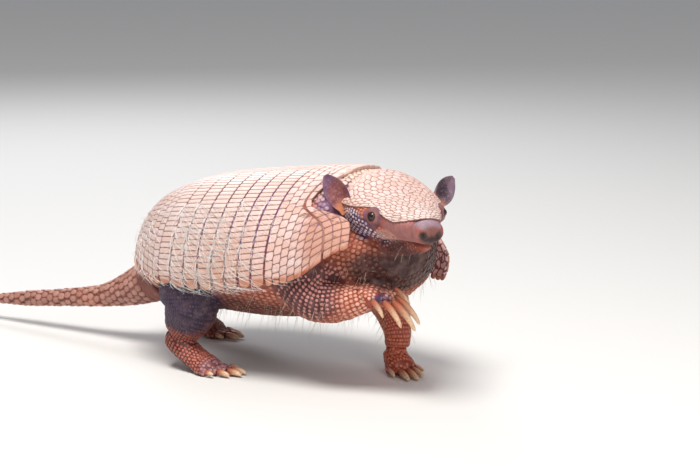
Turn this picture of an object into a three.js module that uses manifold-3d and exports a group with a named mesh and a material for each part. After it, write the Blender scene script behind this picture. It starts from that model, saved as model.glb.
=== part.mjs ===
// A life-size model of a walking six-banded armadillo, in millimetres.
// +X is forward, +Y is the animal's left and +Z is up. It stands on three feet, with the right forefoot lifted
// and the head turned to the right. The origin is on the floor, at the middle of the model's box.

import * as THREE from "three";
import { LoftGeometry } from "three/addons/geometries/LoftGeometry.js";
import { mergeVertices } from "three/addons/utils/BufferGeometryUtils.js";
import Module from "manifold-3d";

const wasm = await Module();
wasm.setup();

const { lerp, degToRad } = THREE.MathUtils;

const gap = 0.35; // kept between neighbouring solids
const plateThickness = 3.6;
const fleshDepth = plateThickness + 2.2; // how far the flesh lies inside the shell's outer face

const colours = {
  plate: { color: 0xe8cfae, roughness: 0.62, metalness: 0 },
  headPlate: { color: 0xeccfb0, roughness: 0.6, metalness: 0 },
  skin: { color: 0xa8583a, roughness: 0.7, metalness: 0 },
  ear: { color: 0x7a4a52, roughness: 0.65, metalness: 0 },
  eye: { color: 0x100c0c, roughness: 0.08, metalness: 0 },
  claw: { color: 0xd9b98c, roughness: 0.4, metalness: 0 },
};

// ---------------------------------------------------------------- forms

// A smooth run through evenly spaced values, read at a share from 0 to 1.
function run(...values) {
  const curve = new THREE.SplineCurve(values.map((value, i) => new THREE.Vector2(i, value)));
  return (share) => curve.getPoint(THREE.MathUtils.clamp(share, 0, 1)).y;
}

// The trunk with its shell: the outer face of the plates. Shares run from the tail root (0) to the neck (1).
const trunk = {
  rearX: -123,
  frontX: 198,
  blunt: 2.8,
  halfWidth: run(64, 82, 86, 84, 80, 79, 74),
  axisHeight: run(79, 87, 93, 96, 100, 109, 117),
  rise: run(88, 80, 79, 82, 86.5, 92, 94),
  drop: run(34, 44, 52, 54, 52, 60, 50),
  rimRight: run(84, 106, 108, 103, 96, 78, 70), // the rim's angle from the top, in degrees
  rimLeft: run(84, 106, 108, 104, 106, 120, 122),
  turn: 0.0009, // the front of the back bends to the right, more the further forward it lies
};

// The skull and muzzle with the cheeks. Shares run from the nape (0) to the nose (1).
const head = {
  rearX: -42,
  frontX: 85,
  blunt: 4.5,
  halfWidth: run(36, 42, 42.5, 40, 33, 23.5, 16, 15),
  axisHeight: run(6, 6, 5, 5, 5.5, 4, 2, 1),
  rise: run(32, 28, 23, 17, 12, 10, 9, 10.5),
  drop: run(32, 32, 30, 28, 25, 20, 14.5, 12),
  rimRight: run(66, 72, 74, 66, 53, 68, 66, 50),
  rimLeft: run(66, 72, 74, 66, 53, 68, 66, 50),
  turn: 0,
};
const headPlace = { x: 145, y: -24, height: 149, turnDeg: -40, pitchDeg: 1 };

const jaw = {
  rearX: -14,
  frontX: 78,
  blunt: 2.6,
  halfWidth: run(28, 29, 22, 14, 10, 8.5),
  axisHeight: run(-21, -21, -18, -16, -14, -12.5),
  rise: run(16, 16, 14, 12, 10, 8),
  drop: run(14, 15, 13, 10.5, 8.5, 7),
  turn: 0,
};

function formPoint(form, share, angle, grow = 0) {
  const end = Math.pow(1 - Math.abs(2 * share - 1) ** form.blunt, 1 / form.blunt);
  const x = lerp(form.rearX - grow, form.frontX + grow, share);
  const reach = Math.cos(angle) > 0 ? form.rise(share) : form.drop(share);
  const side = (form.halfWidth(share) + grow) * end * Math.sin(angle);
  const height = form.axisHeight(share) + (reach + grow) * end * Math.cos(angle);
  const bend = Math.max(0, x);
  const heading = Math.atan(-2 * form.turn * bend);
  return new THREE.Vector3(
    x - side * Math.sin(heading),
    -form.turn * bend * bend + side * Math.cos(heading),
    height,
  );
}

// Shares spaced so that the rows are close where the form rounds off at its ends.
const roundedShares = (rows, from = 0.004, to = 0.996) =>
  Array.from({ length: rows + 1 }, (_, i) => lerp(from, to, (1 - Math.cos((Math.PI * i) / rows)) / 2));

function wholeForm(form, rows, columns, grow = 0, to = 0.996) {
  const sections = roundedShares(rows, 0.004, to).map((share) =>
    Array.from({ length: columns }, (_, i) => formPoint(form, share, (-2 * Math.PI * i) / columns, grow)),
  );
  return new LoftGeometry(sections, { capStart: true, capEnd: true });
}

// An arched plate on a form. rear(side) and front(side) give the shares of its two edges, with side from -1 at
// the right rim to 1 at the left rim. It reaches down to the form's rims, or wider by some degrees.
function archPlate(form, { rear, front, rows, columns, growRear = 0, growFront = 0, thickness, wider = 0 }) {
  const sections = Array.from({ length: columns + 1 }, (_, i) => {
    const side = -1 + (2 * i) / columns;
    const edge = (depth) =>
      Array.from({ length: rows + 1 }, (_, row) => {
        const along = row / rows;
        const share = lerp(rear(side), front(side), along);
        const rim = (side < 0 ? form.rimRight(share) : form.rimLeft(share)) + wider;
        return formPoint(form, share, side * degToRad(rim), lerp(growRear, growFront, along) - depth);
      });
    return [...edge(0), ...edge(thickness).reverse()];
  });
  return new LoftGeometry([closedRim(sections[0]), ...sections, closedRim(sections[columns])]);
}

// A rim's face, closed along its middle line: each outer point and the inner point under it meet halfway.
function closedRim(section) {
  return section.map((point, i) => point.clone().lerp(section[section.length - 1 - i], 0.5));
}

// A limb, toe, claw or tail: oval sections along a smooth line through the given points.
// wide is the half-width across the body, deep the other half-width, and both run along the line.
function limb(points, { wide, deep, rows = 10, columns = 12, roundStart = 0.1, roundEnd = 0.1, across, grow = 0 }) {
  const line = new THREE.CatmullRomCurve3(points.map((p) => new THREE.Vector3(...p)));
  const acrossBody = across ?? new THREE.Vector3(0, 1, 0);
  const sections = roundedShares(rows, 0.003, 0.997).map((share) => {
    const centre = line.getPoint(share);
    const along = line.getTangent(share);
    const up = new THREE.Vector3().crossVectors(along, acrossBody).normalize();
    const side = new THREE.Vector3().crossVectors(up, along).normalize();
    const startRound = share < roundStart ? Math.sqrt(1 - (1 - share / roundStart) ** 2) : 1;
    const endRound = share > 1 - roundEnd ? Math.sqrt(1 - (1 - (1 - share) / roundEnd) ** 2) : 1;
    const round = startRound * endRound;
    return Array.from({ length: columns }, (_, i) => {
      const angle = (-2 * Math.PI * i) / columns;
      return centre
        .clone()
        .addScaledVector(side, (wide(share) + grow) * round * Math.sin(angle))
        .addScaledVector(up, (deep(share) + grow) * round * Math.cos(angle));
    });
  });
  return new LoftGeometry(sections, { capStart: true, capEnd: true });
}

// ---------------------------------------------------------------- solids

function toSolid(geometry) {
  const bare = new THREE.BufferGeometry();
  bare.setAttribute("position", geometry.getAttribute("position"));
  bare.setIndex(geometry.index);
  const merged = mergeVertices(bare, 1e-3);
  const mesh = (triVerts) =>
    new wasm.Mesh({ numProp: 3, vertProperties: merged.attributes.position.array, triVerts });
  const corners = merged.index.array;
  const kept = [];
  for (let i = 0; i < corners.length; i += 3) {
    const [a, b, c] = corners.slice(i, i + 3);
    if (a !== b && b !== c && c !== a) kept.push(a, b, c);
  }
  const triangles = Uint32Array.from(kept);
  const solid = new wasm.Manifold(mesh(triangles));
  if (solid.volume() > 0) return solid;
  for (let i = 0; i < triangles.length; i += 3) {
    [triangles[i + 1], triangles[i + 2]] = [triangles[i + 2], triangles[i + 1]];
  }
  return new wasm.Manifold(mesh(triangles));
}

function toGeometry(solid) {
  const { vertProperties, triVerts, numProp, numVert } = solid.getMesh();
  const positions = new Float32Array(numVert * 3);
  for (let i = 0; i < numVert; i++) {
    positions.set(vertProperties.subarray(i * numProp, i * numProp + 3), i * 3);
  }
  return new THREE.BufferGeometry()
    .setAttribute("position", new THREE.BufferAttribute(positions, 3))
    .setIndex(new THREE.BufferAttribute(Uint32Array.from(triVerts), 1));
}

const join = (solids) => solids.reduce((whole, solid) => whole.add(solid));
const cut = (solid, cutters) => cutters.reduce((rest, cutter) => rest.subtract(cutter), solid);

// The largest of the bodies that cuts leave behind, so that a node is one piece.
const largestBody = (solid) => solid.decompose().reduce((a, b) => (a.volume() > b.volume() ? a : b));

const animal = new THREE.Group();

function addNode(name, solid, look) {
  const mesh = new THREE.Mesh(toGeometry(solid), new THREE.MeshStandardMaterial(look));
  mesh.name = name;
  animal.add(mesh);
  return solid;
}

// Everything below the floor, which levels the soles.
const underFloor = toSolid(new THREE.BoxGeometry(900, 600, 60).translate(0, 0, -30));

// ---------------------------------------------------------------- shell

const bandCount = 8;
const bandGap = 2; // skin that shows between two bands, along the back
const bandPitch = 15.4;
const firstBandX = 66; // where the shoulder shield ends and the first band begins
const lastBandX = firstBandX - bandCount * bandPitch;
const shareAt = (x) => (x - trunk.rearX) / (trunk.frontX - trunk.rearX);

// The edge of a plate: straight across the back, or given from the top of the back out to the flanks. The
// front of the shell leaves room for the ears and then lies further forward.
const straightEdge = (x) => () => shareAt(x);
const shapedEdge = (along) => (side) => shareAt(along(Math.abs(side)));
const shoulderLine = run(98, 97.5, 96, 92, 92, 110, 123, 127, 128);
const mouthLine = run(112, 111, 107, 99.5, 99, 124, 146, 151, 152);
const shellRear = () => 0.012;
const shellFront = shapedEdge(mouthLine);

const plates = {
  pelvic_shield: { rear: shellRear, front: straightEdge(lastBandX - bandGap / 2), rows: 5 },
  shoulder_shield: {
    rear: straightEdge(firstBandX + bandGap / 2),
    front: shapedEdge(shoulderLine),
    rows: 2,
    growRear: 1,
  },
  nape_band: { rear: shapedEdge((share) => shoulderLine(share) + 1.5), front: shellFront, rows: 1, growFront: -1 },
};
for (let band = 1; band <= bandCount; band++) {
  const front = firstBandX - (band - 1) * bandPitch - bandGap / 2;
  const rear = front - (bandPitch - bandGap);
  plates[`band_${band}`] = { rear: straightEdge(rear), front: straightEdge(front), rows: 1, growRear: 1 };
}
const shellPlate = (plate, { beyond = 0, deeper = 0, wider = 0 }) => {
  const reach = (2 * beyond) / (trunk.frontX - trunk.rearX);
  return toSolid(
    archPlate(trunk, {
      rear: (side) => plate.rear(side) - reach,
      front: (side) => plate.front(side) + reach,
      rows: plate.rows,
      columns: 14,
      growRear: (plate.growRear ?? 0) + beyond,
      growFront: (plate.growFront ?? 0) + beyond,
      thickness: plateThickness + beyond + deeper,
      wider,
    }),
  );
};
for (const [name, plate] of Object.entries(plates)) addNode(name, shellPlate(plate, {}), colours.plate);

// The space that the shell takes up, and a little within it, which the limbs and the head stay out of.
const shellSpace = join(
  Object.values(plates).map((plate) => shellPlate(plate, { beyond: 0.6, deeper: 5, wider: 0.8 })),
);

// ---------------------------------------------------------------- trunk and tail

const chestX = 108; // where the trunk ends and the neck begins
const trunkFlesh = (extra) => toSolid(wholeForm(trunk, 12, 20, extra - fleshDepth, shareAt(chestX + extra)));
addNode("trunk", trunkFlesh(0), colours.skin);
const trunkCutter = trunkFlesh(gap);
const bodyCutters = [trunkCutter, shellSpace];

const tailLine = [
  [-104, 0, 68],
  [-138, 1, 52],
  [-171, 2, 41],
  [-218, 4, 33],
  [-272, 7, 25.5],
  [-318, 9, 20],
];
const tailRadius = run(23, 16.5, 10.5, 8, 6.6, 3.4);
const tailCuts = [-184, -244]; // where the tail is parted into root, middle and tip
const tailWhole = toSolid(
  limb(tailLine, { wide: tailRadius, deep: tailRadius, rows: 13, columns: 10, roundStart: 0, roundEnd: 0.03 }),
);
const tailOutside = cut(tailWhole, bodyCutters);
const tailPart = (fromX, toX) =>
  tailOutside.intersect(toSolid(new THREE.BoxGeometry(toX - fromX, 120, 160).translate((fromX + toX) / 2, 0, 60)));
addNode("tail_root", largestBody(tailPart(tailCuts[0] + gap, 0)), colours.skin);
addNode("tail_middle", tailPart(tailCuts[1] + gap, tailCuts[0]), colours.skin);
addNode("tail_tip", tailPart(-400, tailCuts[1]), colours.skin);

// ---------------------------------------------------------------- head

const headMatrix = new THREE.Matrix4()
  .makeTranslation(headPlace.x, headPlace.y, headPlace.height)
  .multiply(new THREE.Matrix4().makeRotationZ(degToRad(headPlace.turnDeg)))
  .multiply(new THREE.Matrix4().makeRotationY(degToRad(headPlace.pitchDeg)));
const onHead = (geometry) => toSolid(geometry.applyMatrix4(headMatrix));

// The shield over the skull; its front edge runs to a point over the muzzle.
const shieldThickness = 2.2;
const headShieldPlate = (extra) =>
  archPlate(head, {
    rear: (side) => 0.09 + 0.1 * side * side - extra / 100,
    front: (side) => 0.86 - 0.16 * side * side + extra / 100,
    rows: 6,
    columns: 10,
    growRear: 2 + extra,
    growFront: 1 + extra,
    thickness: shieldThickness + 2 * extra,
    wider: extra * 3,
  });
addNode("head_shield", cut(onHead(headShieldPlate(0)), [shellSpace]), colours.headPlate);
const shieldCutter = onHead(headShieldPlate(2 * gap));

const eyeRadius = 4.2;
const eyePlaces = { right: [33.5, -30.3, 6.5], left: [33.5, 30.3, 6.5] };
const eyeball = (place, extra = 0) => onHead(new THREE.SphereGeometry(eyeRadius + extra, 9, 6).translate(...place));
for (const [side, place] of Object.entries(eyePlaces)) addNode(`eye_${side}`, eyeball(place), colours.eye);

const skull = (extra) => onHead(wholeForm(head, 12, 16, extra));
const lowerJaw = (extra) => onHead(wholeForm(jaw, 7, 10, extra));
const eyeCutters = Object.values(eyePlaces).map((place) => eyeball(place, gap));
const skullCutter = skull(gap);
const headSolid = largestBody(cut(skull(0), [...bodyCutters, shieldCutter, ...eyeCutters]));
addNode("head", headSolid, colours.skin);
addNode("jaw", largestBody(cut(lowerJaw(0), [...bodyCutters, skullCutter])), colours.skin);

// An ear: a cupped leaf, its opening turned forwards and outwards.
const ears = {
  length: 33,
  wall: 1.8,
  halfWidth: run(5.5, 8.2, 9.6, 9.4, 7.8, 5),
  cup: run(8, 7, 6, 5, 4, 3),
  rootHeight: 8,
  rootOut: 41,
};
const earAxes = { right: [-14, -14, 26], left: [-14, 20, 17] };
const earFacing = { right: [0.85, -0.5, 0.1], left: [0.98, 0.15, 0.1] };
function earGeometry(side) {
  const outward = side === "left" ? 1 : -1;
  const root = new THREE.Vector3(-2, outward * ears.rootOut, ears.rootHeight);
  const axis = new THREE.Vector3(...earAxes[side]).normalize();
  const opening = new THREE.Vector3(...earFacing[side]).projectOnPlane(axis).normalize();
  const across = new THREE.Vector3().crossVectors(axis, opening);
  const sections = roundedShares(7, 0, 0.985).map((share) => {
    const centre = root.clone().addScaledVector(axis, share * ears.length);
    const tip = Math.sqrt(1 - share ** 4);
    const arc = (depth) =>
      Array.from({ length: 7 }, (_, i) => {
        const u = -1 + i / 3;
        return centre
          .clone()
          .addScaledVector(across, u * (ears.halfWidth(share) * tip + 0.4))
          .addScaledVector(opening, (u * u - 0.6) * ears.cup(share) + depth);
      });
    return [...arc(0), ...arc(-ears.wall).reverse()];
  });
  return new LoftGeometry(sections, { capStart: true, capEnd: true });
}
for (const side of ["right", "left"]) {
  const shape = cut(onHead(earGeometry(side)), [skullCutter, shieldCutter, ...bodyCutters]);
  addNode(`ear_${side}`, largestBody(shape), colours.ear);
}

// The neck, which fills the mouth of the shell and carries the head.
const neckLine = [
  [100, -8, 112],
  [126, -14, 114],
  [148, -27, 118],
  [168, -42, 121],
];
const neckShape = (grow) => ({
  wide: run(68, 57, 41, 20),
  deep: run(57, 47, 35, 18),
  rows: 6,
  columns: 14,
  roundStart: 0,
  roundEnd: 0.12,
  grow,
});
const neck = (extra) => toSolid(limb(neckLine, neckShape(extra)));
addNode(
  "neck",
  largestBody(cut(neck(0), [...bodyCutters, skullCutter, lowerJaw(gap), shieldCutter])),
  colours.skin,
);

// ---------------------------------------------------------------- legs

// Each leg: a line from hip or shoulder to ankle or wrist, the foot's own line, and where its toes start and
// point. sideways is the way across the foot towards the body's middle.
const legs = {
  fore_right: {
    line: [
      [84, -46, 107],
      [85, -59, 88],
      [102, -63, 78],
      [124, -62, 79],
      [143, -59, 85],
    ],
    wide: run(22, 22, 18, 13.5, 10.5),
    deep: run(34, 28, 20, 15, 10.5),
    foot: [
      [136, -61, 84.5],
      [146, -58.5, 87],
      [155, -56.5, 86],
    ],
    footWide: run(10, 12.5, 13.5),
    footDeep: run(10, 9, 6.5),
    toeStart: [155, -56.5, 87],
    toeForward: [0.82, 0.12, -0.56],
    sideways: [0.1, 0.93, 0.3],
    toeReach: 7,
    toeSpacing: 6.2,
    clawScale: 1.16,
    clawDrop: 0.3,
  },
  fore_left: {
    line: [
      [96, 34, 99],
      [98, 44, 74],
      [110, 42, 52],
      [119, 36, 34],
      [120, 34, 20],
    ],
    wide: run(22, 20, 15, 12, 11),
    deep: run(30, 24, 17, 12.5, 11.5),
    foot: [
      [115, 36, 21],
      [121, 32, 10],
      [134, 23, 4.4],
    ],
    footWide: run(10, 13, 14.5),
    footDeep: run(10, 10.5, 8),
    toeStart: [131, 25, 3.4],
    toeForward: [0.8, -0.6, 0],
    sideways: [-0.6, -0.8, 0],
    toeReach: 8,
    toeSpacing: 6.2,
    clawScale: 0.85,
    clawDrop: 0.1,
  },
  hind_right: {
    line: [
      [-42, -44, 91],
      [-37, -57, 70],
      [-36, -60, 54],
      [-42, -60, 42],
      [-50, -59, 31],
    ],
    wide: run(24, 24, 20, 15, 11),
    deep: run(32, 30, 26, 21, 15),
    foot: [
      [-61, -58, 30],
      [-46, -60, 22],
      [-24, -61, 8.6],
      [-5, -62, 4.4],
    ],
    footWide: run(9, 12, 14, 15),
    footDeep: run(10, 11, 9.5, 7.6),
    toeStart: [-9, -62, 3.4],
    toeForward: [1, -0.02, 0],
    sideways: [0, 1, 0],
    toeReach: 13,
    toeSpacing: 6.2,
    clawScale: 0.55,
    clawDrop: 0.12,
  },
  hind_left: {
    line: [
      [-60, 44, 91],
      [-62, 56, 70],
      [-70, 60, 54],
      [-92, 61, 40],
      [-112, 60, 31],
    ],
    wide: run(24, 24, 20, 14, 10),
    deep: run(38, 34, 25, 16, 11),
    foot: [
      [-126, 59, 29],
      [-112, 60, 21],
      [-96, 61, 8.6],
      [-82, 61, 4.4],
    ],
    footWide: run(9, 12, 14, 15),
    footDeep: run(9.5, 10.5, 9.5, 7.6),
    toeStart: [-86, 61, 3.4],
    toeForward: [1, 0.05, 0],
    sideways: [0, -1, 0],
    toeReach: 13,
    toeSpacing: 6.2,
    clawScale: 0.55,
    clawDrop: 0.12,
  },
};

// The five toes, from the inner to the outer.
const toeSizes = [0.62, 0.96, 1, 0.84, 0.56]; // each claw's length, as a share of the longest
const toeSetBack = [6, 0, 0, 4.5, 11]; // how far behind the longest toe each one starts
const longestClaw = 30;
const toeRadius = run(4.4, 4.3, 3.8);

function toePlaces(leg) {
  const forward = new THREE.Vector3(...leg.toeForward).normalize();
  const sideways = new THREE.Vector3(...leg.sideways).projectOnPlane(forward).normalize();
  const [heel, sole] = leg.foot.slice(-2).map((point) => new THREE.Vector3(...point));
  const footForward = sole.sub(heel).normalize();
  const down = new THREE.Vector3().crossVectors(forward, sideways);
  if (down.z > 0) down.negate();
  return toeSizes.map((size, i) => {
    const off = 2 - i;
    const start = new THREE.Vector3(...leg.toeStart)
      .addScaledVector(sideways, off * leg.toeSpacing)
      .addScaledVector(forward, -toeSetBack[i]);
    const root = start
      .clone()
      .addScaledVector(sideways, -off * leg.toeSpacing * 0.45)
      .addScaledVector(footForward, -9);
    const along = forward.clone().addScaledVector(sideways, off * 0.08).normalize();
    const reach = leg.toeReach * (0.7 + 0.3 * size);
    const length = longestClaw * size * leg.clawScale;
    const drop = leg.clawDrop * length;
    return { root, start, along, down, sideways, reach, length, drop, thick: Math.sqrt(size) };
  });
}

const toe = ({ root, start, along, sideways, reach, thick }, grow) => {
  const ahead = (far) => start.clone().addScaledVector(along, far).toArray();
  const points = [root.toArray(), ahead(reach * 0.4), ahead(reach)];
  const radius = (share) => thick * toeRadius(share);
  const shape = { wide: radius, deep: radius, rows: 2, columns: 6, across: sideways, roundStart: 0, roundEnd: 0 };
  return toSolid(limb(points, { ...shape, grow }));
};

function claw({ start, along, down, sideways, reach, length, drop, thick }) {
  const points = [0, 0.35, 0.7, 1].map((far) =>
    start
      .clone()
      .addScaledVector(along, reach + 0.9 + length * far * (1 - 0.12 * far))
      .addScaledVector(down, drop * far * far - 0.8)
      .toArray(),
  );
  return toSolid(
    limb(points, {
      wide: (share) => thick * (2.8 - 1.7 * share ** 2.4),
      deep: (share) => thick * (3.4 - 2.2 * share ** 2.2),
      rows: 3,
      columns: 6,
      across: sideways,
      roundStart: 0,
      roundEnd: 0,
    }),
  );
}

for (const [name, leg] of Object.entries(legs)) {
  const toes = toePlaces(leg);
  const foot = (grow) => {
    const shape = { wide: leg.footWide, deep: leg.footDeep, rows: 4, columns: 9, roundStart: 0.25, roundEnd: 0.2 };
    return join([toSolid(limb(leg.foot, { ...shape, grow })), ...toes.map((place) => toe(place, grow))]);
  };
  const upper = toSolid(limb(leg.line, { wide: leg.wide, deep: leg.deep, rows: 8, columns: 12, roundEnd: 0.06 }));
  addNode(`${name}_leg`, largestBody(cut(upper, [foot(gap), underFloor, ...bodyCutters, neck(gap)])), colours.skin);
  addNode(`${name}_foot`, largestBody(cut(foot(0), [underFloor, ...bodyCutters, neck(gap)])), colours.skin);
  toes.forEach((place, i) => {
    addNode(`${name}_claw_${i + 1}`, largestBody(cut(claw(place), [underFloor, foot(gap)])), colours.claw);
  });
}

// ---------------------------------------------------------------- origin

const box = new THREE.Box3().setFromObject(animal);
const middle = box.getCenter(new THREE.Vector3());
animal.position.set(-middle.x, -middle.y, -box.min.z);

const model = new THREE.Group();
model.add(animal);

export default model;
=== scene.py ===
import math
import random

import bmesh
import bpy
from mathutils import Euler, Matrix, Vector, noise
from mathutils.bvhtree import BVHTree


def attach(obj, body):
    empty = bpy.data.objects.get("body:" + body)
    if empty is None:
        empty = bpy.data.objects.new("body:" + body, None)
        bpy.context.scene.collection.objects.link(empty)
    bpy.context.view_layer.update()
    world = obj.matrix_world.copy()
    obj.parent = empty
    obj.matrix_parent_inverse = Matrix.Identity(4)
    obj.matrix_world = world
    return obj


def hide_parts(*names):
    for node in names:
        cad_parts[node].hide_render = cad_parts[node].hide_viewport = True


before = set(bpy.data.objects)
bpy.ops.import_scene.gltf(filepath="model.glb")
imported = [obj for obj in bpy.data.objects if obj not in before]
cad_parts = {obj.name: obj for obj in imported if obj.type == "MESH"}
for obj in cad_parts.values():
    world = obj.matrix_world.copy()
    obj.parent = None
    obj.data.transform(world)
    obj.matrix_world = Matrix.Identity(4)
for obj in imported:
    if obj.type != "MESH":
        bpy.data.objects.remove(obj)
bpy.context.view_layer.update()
dice = random.Random(11)
mm = 0.001
modelShift = Vector((51.4235, 0.0235, 0.0))  # from the animal's own origin to the model's, in mm

# the camera, the floor and the lights

view = {
    "eye": (1.00622, -1.52433, 0.43938),
    "turn": 0.51578,  # radians
    "tilt": 0.17761,
    "roll": 0.00824,
    "lens": 105.95,
    "sensor": 36,
}
studio = {
    "floor": (0.80, 0.79, 0.77),
    "floorRoughness": 0.9,
    "floorSize": 30,
    "sky": (0.93, 0.95, 1.0),
    "skyStrength": 0.34,
    "lamps": [  # place, aims at, size, watts, colour
        ((0.25, -0.75, 1.9), (0.0, 0.0, 0.10), 0.9, 40, (1.0, 0.975, 0.94)),
        ((1.6, -0.9, 0.9), (0.1, 0.0, 0.10), 0.9, 7, (1.0, 0.95, 0.90)),
        ((-1.2, 1.2, 1.3), (0.0, 0.0, 0.12), 0.9, 12, (0.92, 0.95, 1.0)),
    ],
}


def makeCamera():
    data = bpy.data.cameras.new("camera")
    data.lens = view["lens"]
    data.sensor_width = view["sensor"]
    camera = bpy.data.objects.new("camera", data)
    bpy.context.collection.objects.link(camera)
    facing = Euler((math.pi / 2 - view["tilt"], 0, view["turn"])).to_matrix().to_4x4()
    camera.matrix_world = Matrix.Translation(view["eye"]) @ facing @ Matrix.Rotation(view["roll"], 4, "Z")
    bpy.context.scene.camera = camera


def makeLamps():
    for i, (place, aim, size, watts, colour) in enumerate(studio["lamps"]):
        data = bpy.data.lights.new(f"lamp_{i}", "AREA")
        data.shape = "DISK"
        data.size = size
        data.energy = watts
        data.color = colour
        lamp = bpy.data.objects.new(f"lamp_{i}", data)
        bpy.context.collection.objects.link(lamp)
        turned = (Vector(aim) - Vector(place)).to_track_quat("-Z", "Y").to_matrix().to_4x4()
        lamp.matrix_world = Matrix.Translation(place) @ turned
    world = bpy.data.worlds.new("studio")
    world.use_nodes = True
    background = world.node_tree.nodes["Background"]
    background.inputs["Color"].default_value = (*studio["sky"], 1)
    background.inputs["Strength"].default_value = studio["skyStrength"]
    bpy.context.scene.world = world
    bpy.context.scene.view_settings.view_transform = "Standard"


def newObject(name, mesh, body=True):
    piece = bpy.data.objects.new(name, mesh)
    bpy.context.collection.objects.link(piece)
    if body:
        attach(piece, "root")
    return piece


def smoothPiece(name, mesh, *materials):
    for material in materials:
        mesh.materials.append(material)
    mesh.shade_smooth()
    return newObject(name, mesh)


def meshOf(whole, name):
    mesh = bpy.data.meshes.new(name)
    whole.to_mesh(mesh)
    whole.free()
    return mesh


def addTo(whole, part):
    mesh = meshOf(part, "part")
    whole.from_mesh(mesh)
    bpy.data.meshes.remove(mesh)


def makeFloor():
    sheet = bmesh.new()
    bmesh.ops.create_grid(sheet, x_segments=1, y_segments=1, size=studio["floorSize"])
    mesh = meshOf(sheet, "floor")
    floor = newObject("floor", mesh, body=False)
    material = bpy.data.materials.new("floorPaper")
    material.use_nodes = True
    paper = material.node_tree.nodes["Principled BSDF"]
    paper.inputs["Base Color"].default_value = (*studio["floor"], 1)
    paper.inputs["Roughness"].default_value = studio["floorRoughness"]
    mesh.materials.append(material)


makeCamera()
makeLamps()
makeFloor()
print("stage: camera, lights and floor")

# the forms that the animal is built on, in mm


def clamp(value):
    return min(max(value, 0.0), 1.0)


def run(*values):  # a smooth run through evenly spaced values, read at a share from 0 to 1
    last = len(values) - 1

    def at(share):
        place = clamp(share) * last
        i = min(int(place), last - 1)
        t = place - i
        p1, p2 = values[i], values[i + 1]
        v0 = (p2 - values[max(i - 1, 0)]) / 2
        v1 = (values[min(i + 2, last)] - p1) / 2
        return (2 * p1 - 2 * p2 + v0 + v1) * t**3 + (-3 * p1 + 3 * p2 - 2 * v0 - v1) * t * t + v0 * t + p1

    return at


def smoothLine(points):  # a curve through the points, which gives the place and the direction at a share
    points = [Vector(p) for p in points]
    last = len(points) - 1

    def placeAt(share):
        place = clamp(share) * last
        i = min(int(place), last - 1)
        t = place - i
        p1, p2 = points[i], points[i + 1]
        p0 = points[i - 1] if i > 0 else 2 * p1 - p2
        p3 = points[i + 2] if i + 2 <= last else 2 * p2 - p1
        d0, d1, d2 = (math.sqrt((b - a).length) for a, b in ((p0, p1), (p1, p2), (p2, p3)))
        t1 = ((p1 - p0) / d0 - (p2 - p0) / (d0 + d1) + (p2 - p1) / d1) * d1
        t2 = ((p2 - p1) / d1 - (p3 - p1) / (d1 + d2) + (p3 - p2) / d2) * d1
        return p1 + t1 * t + (-3 * p1 + 3 * p2 - 2 * t1 - t2) * t * t + (2 * p1 - 2 * p2 + t1 + t2) * t**3

    def at(share):
        along = placeAt(min(share + 0.002, 1.0)) - placeAt(max(share - 0.002, 0.0))
        return placeAt(share), along.normalized()

    return at


trunkForm = {
    "rear": -123,
    "front": 198,
    "blunt": 2.8,
    "halfWidth": run(64, 82, 86, 84, 80, 79, 74),
    "axisHeight": run(79, 87, 93, 96, 100, 109, 117),
    "rise": run(88, 80, 79, 82, 86.5, 92, 94),
    "drop": run(34, 44, 52, 54, 52, 60, 50),
    "rimRight": run(84, 106, 108, 103, 96, 78, 70),  # the shell's rim, in degrees from the top
    "rimLeft": run(84, 106, 108, 104, 106, 120, 122),
    "turn": 0.0009,
}
headForm = {
    "rear": -42,
    "front": 85,
    "blunt": 4.5,
    "halfWidth": run(36, 42, 42.5, 40, 33, 23.5, 16, 15),
    "axisHeight": run(6, 6, 5, 5, 5.5, 4, 2, 1),
    "rise": run(32, 28, 23, 17, 12, 10, 9, 10.5),
    "drop": run(32, 32, 30, 28, 25, 20, 14.5, 12),
    "rim": run(66, 72, 76, 70, 57, 78, 82, 76),
    "turn": 0,
}
jawForm = {
    "rear": -14,
    "front": 78,
    "blunt": 2.6,
    "halfWidth": run(28, 29, 22, 14, 10, 8.5),
    "axisHeight": run(-21, -21, -18, -16, -14, -12.5),
    "rise": run(16, 16, 14, 12, 10, 8),
    "drop": run(14, 15, 13, 10.5, 8.5, 7),
    "turn": 0,
}
headPlace = Matrix.Translation((145, -24, 149)) @ Matrix.Rotation(math.radians(-40), 4, "Z")
headPlace = headPlace @ Matrix.Rotation(math.radians(1), 4, "Y")
headToModel = Matrix.Scale(mm, 4) @ Matrix.Translation(modelShift) @ headPlace
modelToHead = headToModel.inverted()


def formPoint(form, share, angle, grow=0.0):
    end = max(0.0, 1 - abs(2 * share - 1) ** form["blunt"]) ** (1 / form["blunt"])
    x = form["rear"] - grow + (form["front"] - form["rear"] + 2 * grow) * share
    reach = form["rise"](share) if math.cos(angle) > 0 else form["drop"](share)
    side = (form["halfWidth"](share) + grow) * end * math.sin(angle)
    height = form["axisHeight"](share) + (reach + grow) * end * math.cos(angle)
    bend = max(0.0, x)
    heading = math.atan(-2 * form["turn"] * bend)
    y = -form["turn"] * bend * bend + side * math.cos(heading)
    return Vector((x - side * math.sin(heading), y, height))


def shareAt(x):
    return (x - trunkForm["rear"]) / (trunkForm["front"] - trunkForm["rear"])


def toModel(point):
    return (point + modelShift) * mm


def fromModel(point):
    return point / mm - modelShift


def shellPoint(x, side, grow=0.0):  # side runs from -1 at the right rim to 1 at the left rim
    share = shareAt(x)
    rim = trunkForm["rimRight"](share) if side < 0 else trunkForm["rimLeft"](share)
    return toModel(formPoint(trunkForm, share, side * math.radians(rim), grow))


def headPoint(share, side, grow=0.0):
    return headToModel @ formPoint(headForm, share, side * math.radians(headForm["rim"](share)), grow)


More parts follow.
